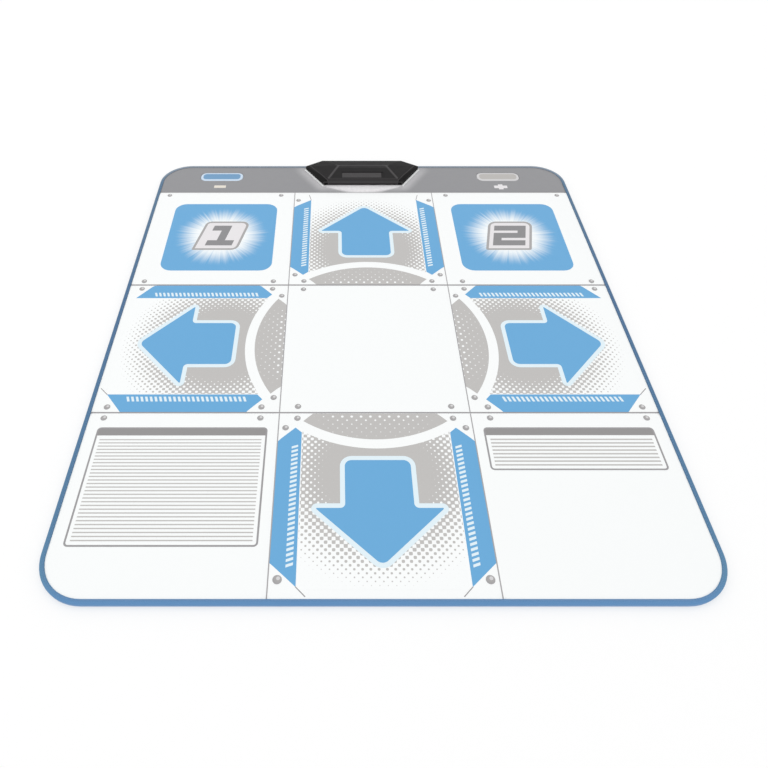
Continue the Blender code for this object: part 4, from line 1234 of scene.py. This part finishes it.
def stitchSurface(path):
    # a lens for each stitch: length along the rim, width and height fall to nothing at its ends as sin
    walk = walked(path[:, :2])
    first, last = stitch["ends"]
    s = np.arange(first, walk[-1] - last, stitch["pitch"])
    at = np.stack([np.interp(s, walk, path[:, k]) for k in range(4)], -1)
    out = unit(at[:, 2:])[:, None, None]
    u, v = np.linspace(0, 1, 6), np.linspace(0, np.pi, 5)
    swell = np.sin(np.pi * np.clip(u, 0.02, 0.98))[:, None] ** 0.6
    length = ((u - 0.5) * stitch["length"])[:, None, None]
    width = (-np.cos(v) * swell * stitch["width"] / 2)[..., None]
    plan = at[:, None, None, :2] + (width - stitch["inset"]) * out + length * leftOf(out)
    z = tape["top"] + np.sin(v) * swell * stitch["height"] - stitch["sunk"]
    points = np.concatenate([plan, np.broadcast_to(z[..., None], plan.shape[:3] + (1,))], -1)
    faces = gridFaces(6, 5) + 30 * np.arange(len(s))[:, None, None]
    uv = np.broadcast_to(xy(u[:, None], v / np.pi) * 0.003, plan.shape)
    return surface(points, faces.reshape(-1, 4), 1, 1.0, uv)


def tapePiece(name, fold, nodes, *ranges):
    surfaces = []
    for path in (rimPath(*part) for part in ranges):
        surfaces += tapeSurfaces(path) + [faceUp(stitchSurface(path))]
    made = piece(name, surfaces, [finishes["tape"], finishes["thread"]], up=False)
    for shape in opened(made.data):
        bmesh.ops.recalc_face_normals(shape, faces=[f for f in shape.faces if f.material_index == 0])
    folded(made, "edge_tape", fold, tape["foldHalf"], 0, ["edge_tape_" + node for node in nodes])


centre = mat["centre"]
tapePiece("tapeBackLeft", "middleFold", ("back_left", "middle_left"), (-1, centre, None))
tapePiece("tapeBackRight", "middleFold", ("back_right", "middle_right"), (1, centre, None))
tapePiece("tapeFront", "frontFold", ("front", "middle_left", "middle_right"), (-1, None, centre), (1, None, centre))
print("tape done")

# foam layers: each CAD foam's own outline and holes, merged and with softened edges
foams = {"anchor": 0.0037, "keep": 0.3, "edge": 0.0003, "flatAngle": 0.02, "sharpAngle": 0.8}


def foamPiece(node, body, joint):
    made = added(camel(node), frame["nodes"][node].data.copy())
    for shape in opened(made.data):
        bmesh.ops.remove_doubles(shape, verts=shape.verts, dist=1e-6)
        bmesh.ops.dissolve_limit(shape, angle_limit=foams["flatAngle"], verts=shape.verts, edges=shape.edges)
        sharp = [e for e in shape.edges if e.calc_face_angle(0) > foams["sharpAngle"]]
        bmesh.ops.bevel(shape, geom=sharp, offset=foams["edge"], segments=2, profile=0.5, affect="EDGES")
        bmesh.ops.triangulate(shape, faces=shape.faces)
    made.data.materials.clear()
    made.data.materials.append(finishes["foam"])
    carried(made, "foam", body, [node], joint, foams["anchor"], foams["keep"])


bodyOf = {node: body for body, nodes in frame["record"]["behaviour"]["bodies"].items() for node in nodes}
for node, body in sorted(bodyOf.items()):
    if "foam" in node:
        foamPiece(node, body, node.replace("spacer_foam", "press") if "spacer" in node else None)
print("foam done")


# box: the moulded cover has painted highlights, pale lines where two of its facets meet, and painted shade on its walls
def coverPlanes():
    # the facets' outward directions n and reaches c: n.p - c is a point's height over one
    rim = boxOutline(0)
    high, low = (np.column_stack([rim, np.full(6, box[level])]) for level in ("wallTop", "low"))
    roof = np.column_stack([np.array(box["roofCorners"]), np.full(4, box["roof"])])
    facets = [(low[k], low[(k + 1) % 6], high[k]) for k in range(6)]
    facets += [(high[0], high[1], roof[1]), (high[2], roof[2], roof[1]), (high[3], high[4], roof[3]),
               (high[5], roof[0], roof[3]), (roof[0], roof[1], roof[2])]
    a, b, c = np.moveaxis(np.array(facets), 1, 0)
    normal = unit(np.cross(b - a, c - a))
    return normal, (normal * a).sum(1)


def overPlane(place, normal, reach):
    # a point's height over a plane, n.p - c
    over = put("VectorMath", {0: place, 1: [float(v) for v in normal]}, operation="DOT_PRODUCT")
    return calc("SUBTRACT", over.outputs["Value"], float(reach))


def insideOf(split, ranges):
    # 1 where every coordinate lies in its range
    inside, soft = 1.0, 0.0003
    for axis, (low, high) in zip("XYZ", ranges):
        off, half = calc("ABSOLUTE", ("SUBTRACT", split[axis], (low + high) / 2)), (high - low) / 2
        inside = calc("MULTIPLY", inside, span(off, half + soft, half - soft))
    return inside


def coverMaterial():
    material = newMaterial("coverPlastic", Specular_IOR_Level=0.15)
    place = partPlace(material)
    skin, split, count = useGroup("moulded", Place=place), axes(place), 0.0
    tone = skin["Tone"]
    for normal, reach in zip(*coverPlanes()):
        # a line is as wide on a steep facet as on the roof, and painted pale as a highlight where two facets are near
        steep = float(1 + 3 * np.hypot(*normal[:2]))
        away = calc("ABSOLUTE", overPlane(place, normal, reach))
        count = calc("ADD", count, span(away, 0.00022 * steep, 0.00010 * steep))
    # painted highlight: the share of pale grey where two facets meet, varied by random tone
    paleShare = calc("MULTIPLY", span(count, 1.1, 1.9), ("ADD", 0.3, tone))
    body = mixed(tone, (16, 14, 15), (32, 30, 31))
    speckle = noise(place, 900.0, 2.0)
    # painted light on the front, painted shade on the walls behind it, then the roof's strip and plate, each speckled
    for ranges, dark, light in box["tints"]:
        body = mixed(insideOf(split, ranges), body, mixed(speckle, dark, light))
    # painted shade: a black band along each slanted side, inside a pale line painted as a highlight
    rim = boxOutline(0)
    for k in (1, 5):
        inward = leftOf(unit(rim[(k + 1) % 6] - rim[k]))
        depth = overPlane(place, (*inward, 0), inward @ rim[k] + box["bandWidth"])
        body = mixed(span(depth, 0.0002, -0.0003), body, box["bandTint"])
        pale = span(calc("ABSOLUTE", depth), 0.0010, 0.0004)
        paleShare = calc("MAXIMUM", paleShare, ("MULTIPLY", pale, ("ADD", 0.1, tone)))
    # the painted highlights' pale grey laid over the body
    return coated(material, mixed(paleShare, body, (78, 76, 77)), (skin["Height"], 0.00005, 0.6), (tone, 0.5, 0.62))


finishes["cover"] = coverMaterial()
dressed = {"box_cover": "cover", "box_base": "chip", "circuit_board": "board", "controller_chip": "chip",
           "film_connector": "chip", "cable_gland": "rubber"}
for node, shown in frame["nodes"].items():
    finish = dressed.get(node) or ("film" if "film" in node else "steel" if "screw" in node else None)
    if finish and not shown.material_slots:
        shown.data.materials.append(finishes[finish])
    elif finish:
        for held in shown.material_slots:
            held.material = finishes[finish]
print("box and board dressed")

# floor, light and camera
studio = {
    "floorSize": 6.0, "floorLow": -0.0003, "floor": (188, 188, 188), "glow": 0.50, "sky": 0.948,
    "key": 4.0, "keySize": 2.4, "keyPlace": (-0.9, 0.6, 2.2),
    "camera": (-0.0585, -0.7134, 0.7034), "pitch": 50.52, "lens": 28.605, "shiftX": 0.0653,
}
scene = bpy.context.scene
x = np.linspace(-studio["floorSize"], studio["floorSize"], 9)
paper = vinyl("floorPaper", studio["floor"], (0.8, 0.9))
shine = paper.node_tree.nodes["Principled BSDF"].inputs
shine["Emission Color"].default_value, shine["Emission Strength"].default_value = (1, 1, 1, 1), studio["glow"]
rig.stage(piece("floor", [grid(np.dstack([*np.meshgrid(x, x), np.full((9, 9), studio["floorLow"])]))], [paper]))

scene.world = bpy.data.worlds.new("studio")
scene.world.use_nodes = True
sky = scene.world.node_tree.nodes["Background"].inputs
sky["Strength"].default_value, sky["Color"].default_value = studio["sky"], (1, 1, 1, 1)

light = bpy.data.lights.new("softbox", "AREA")
light.size, light.energy = studio["keySize"], studio["key"]
softbox = added("softbox", light)
softbox.location = right, back, up = studio["keyPlace"]
softbox.rotation_euler = (float(np.arctan2(back, up)), float(np.arctan2(right, np.hypot(back, up))), 0)

lens = bpy.data.cameras.new("camera")
lens.lens, lens.sensor_width, lens.shift_x = studio["lens"], 36.0, studio["shiftX"]
lens.clip_start, lens.clip_end = 0.01, 50
camera = added("camera", lens)
camera.location = studio["camera"]
camera.rotation_euler = (float(np.radians(90 - studio["pitch"])), 0, 0)
scene.camera = camera
scene.view_settings.view_transform = "Standard"

boxes = {"cad": cadBox, "visual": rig.bounds()}
sizes = {kind: [[float(v) for v in corner] for corner in corners] for kind, corners in boxes.items()}
json.dump(sizes, open("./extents.json", "w"))
print("sizes:", sizes)
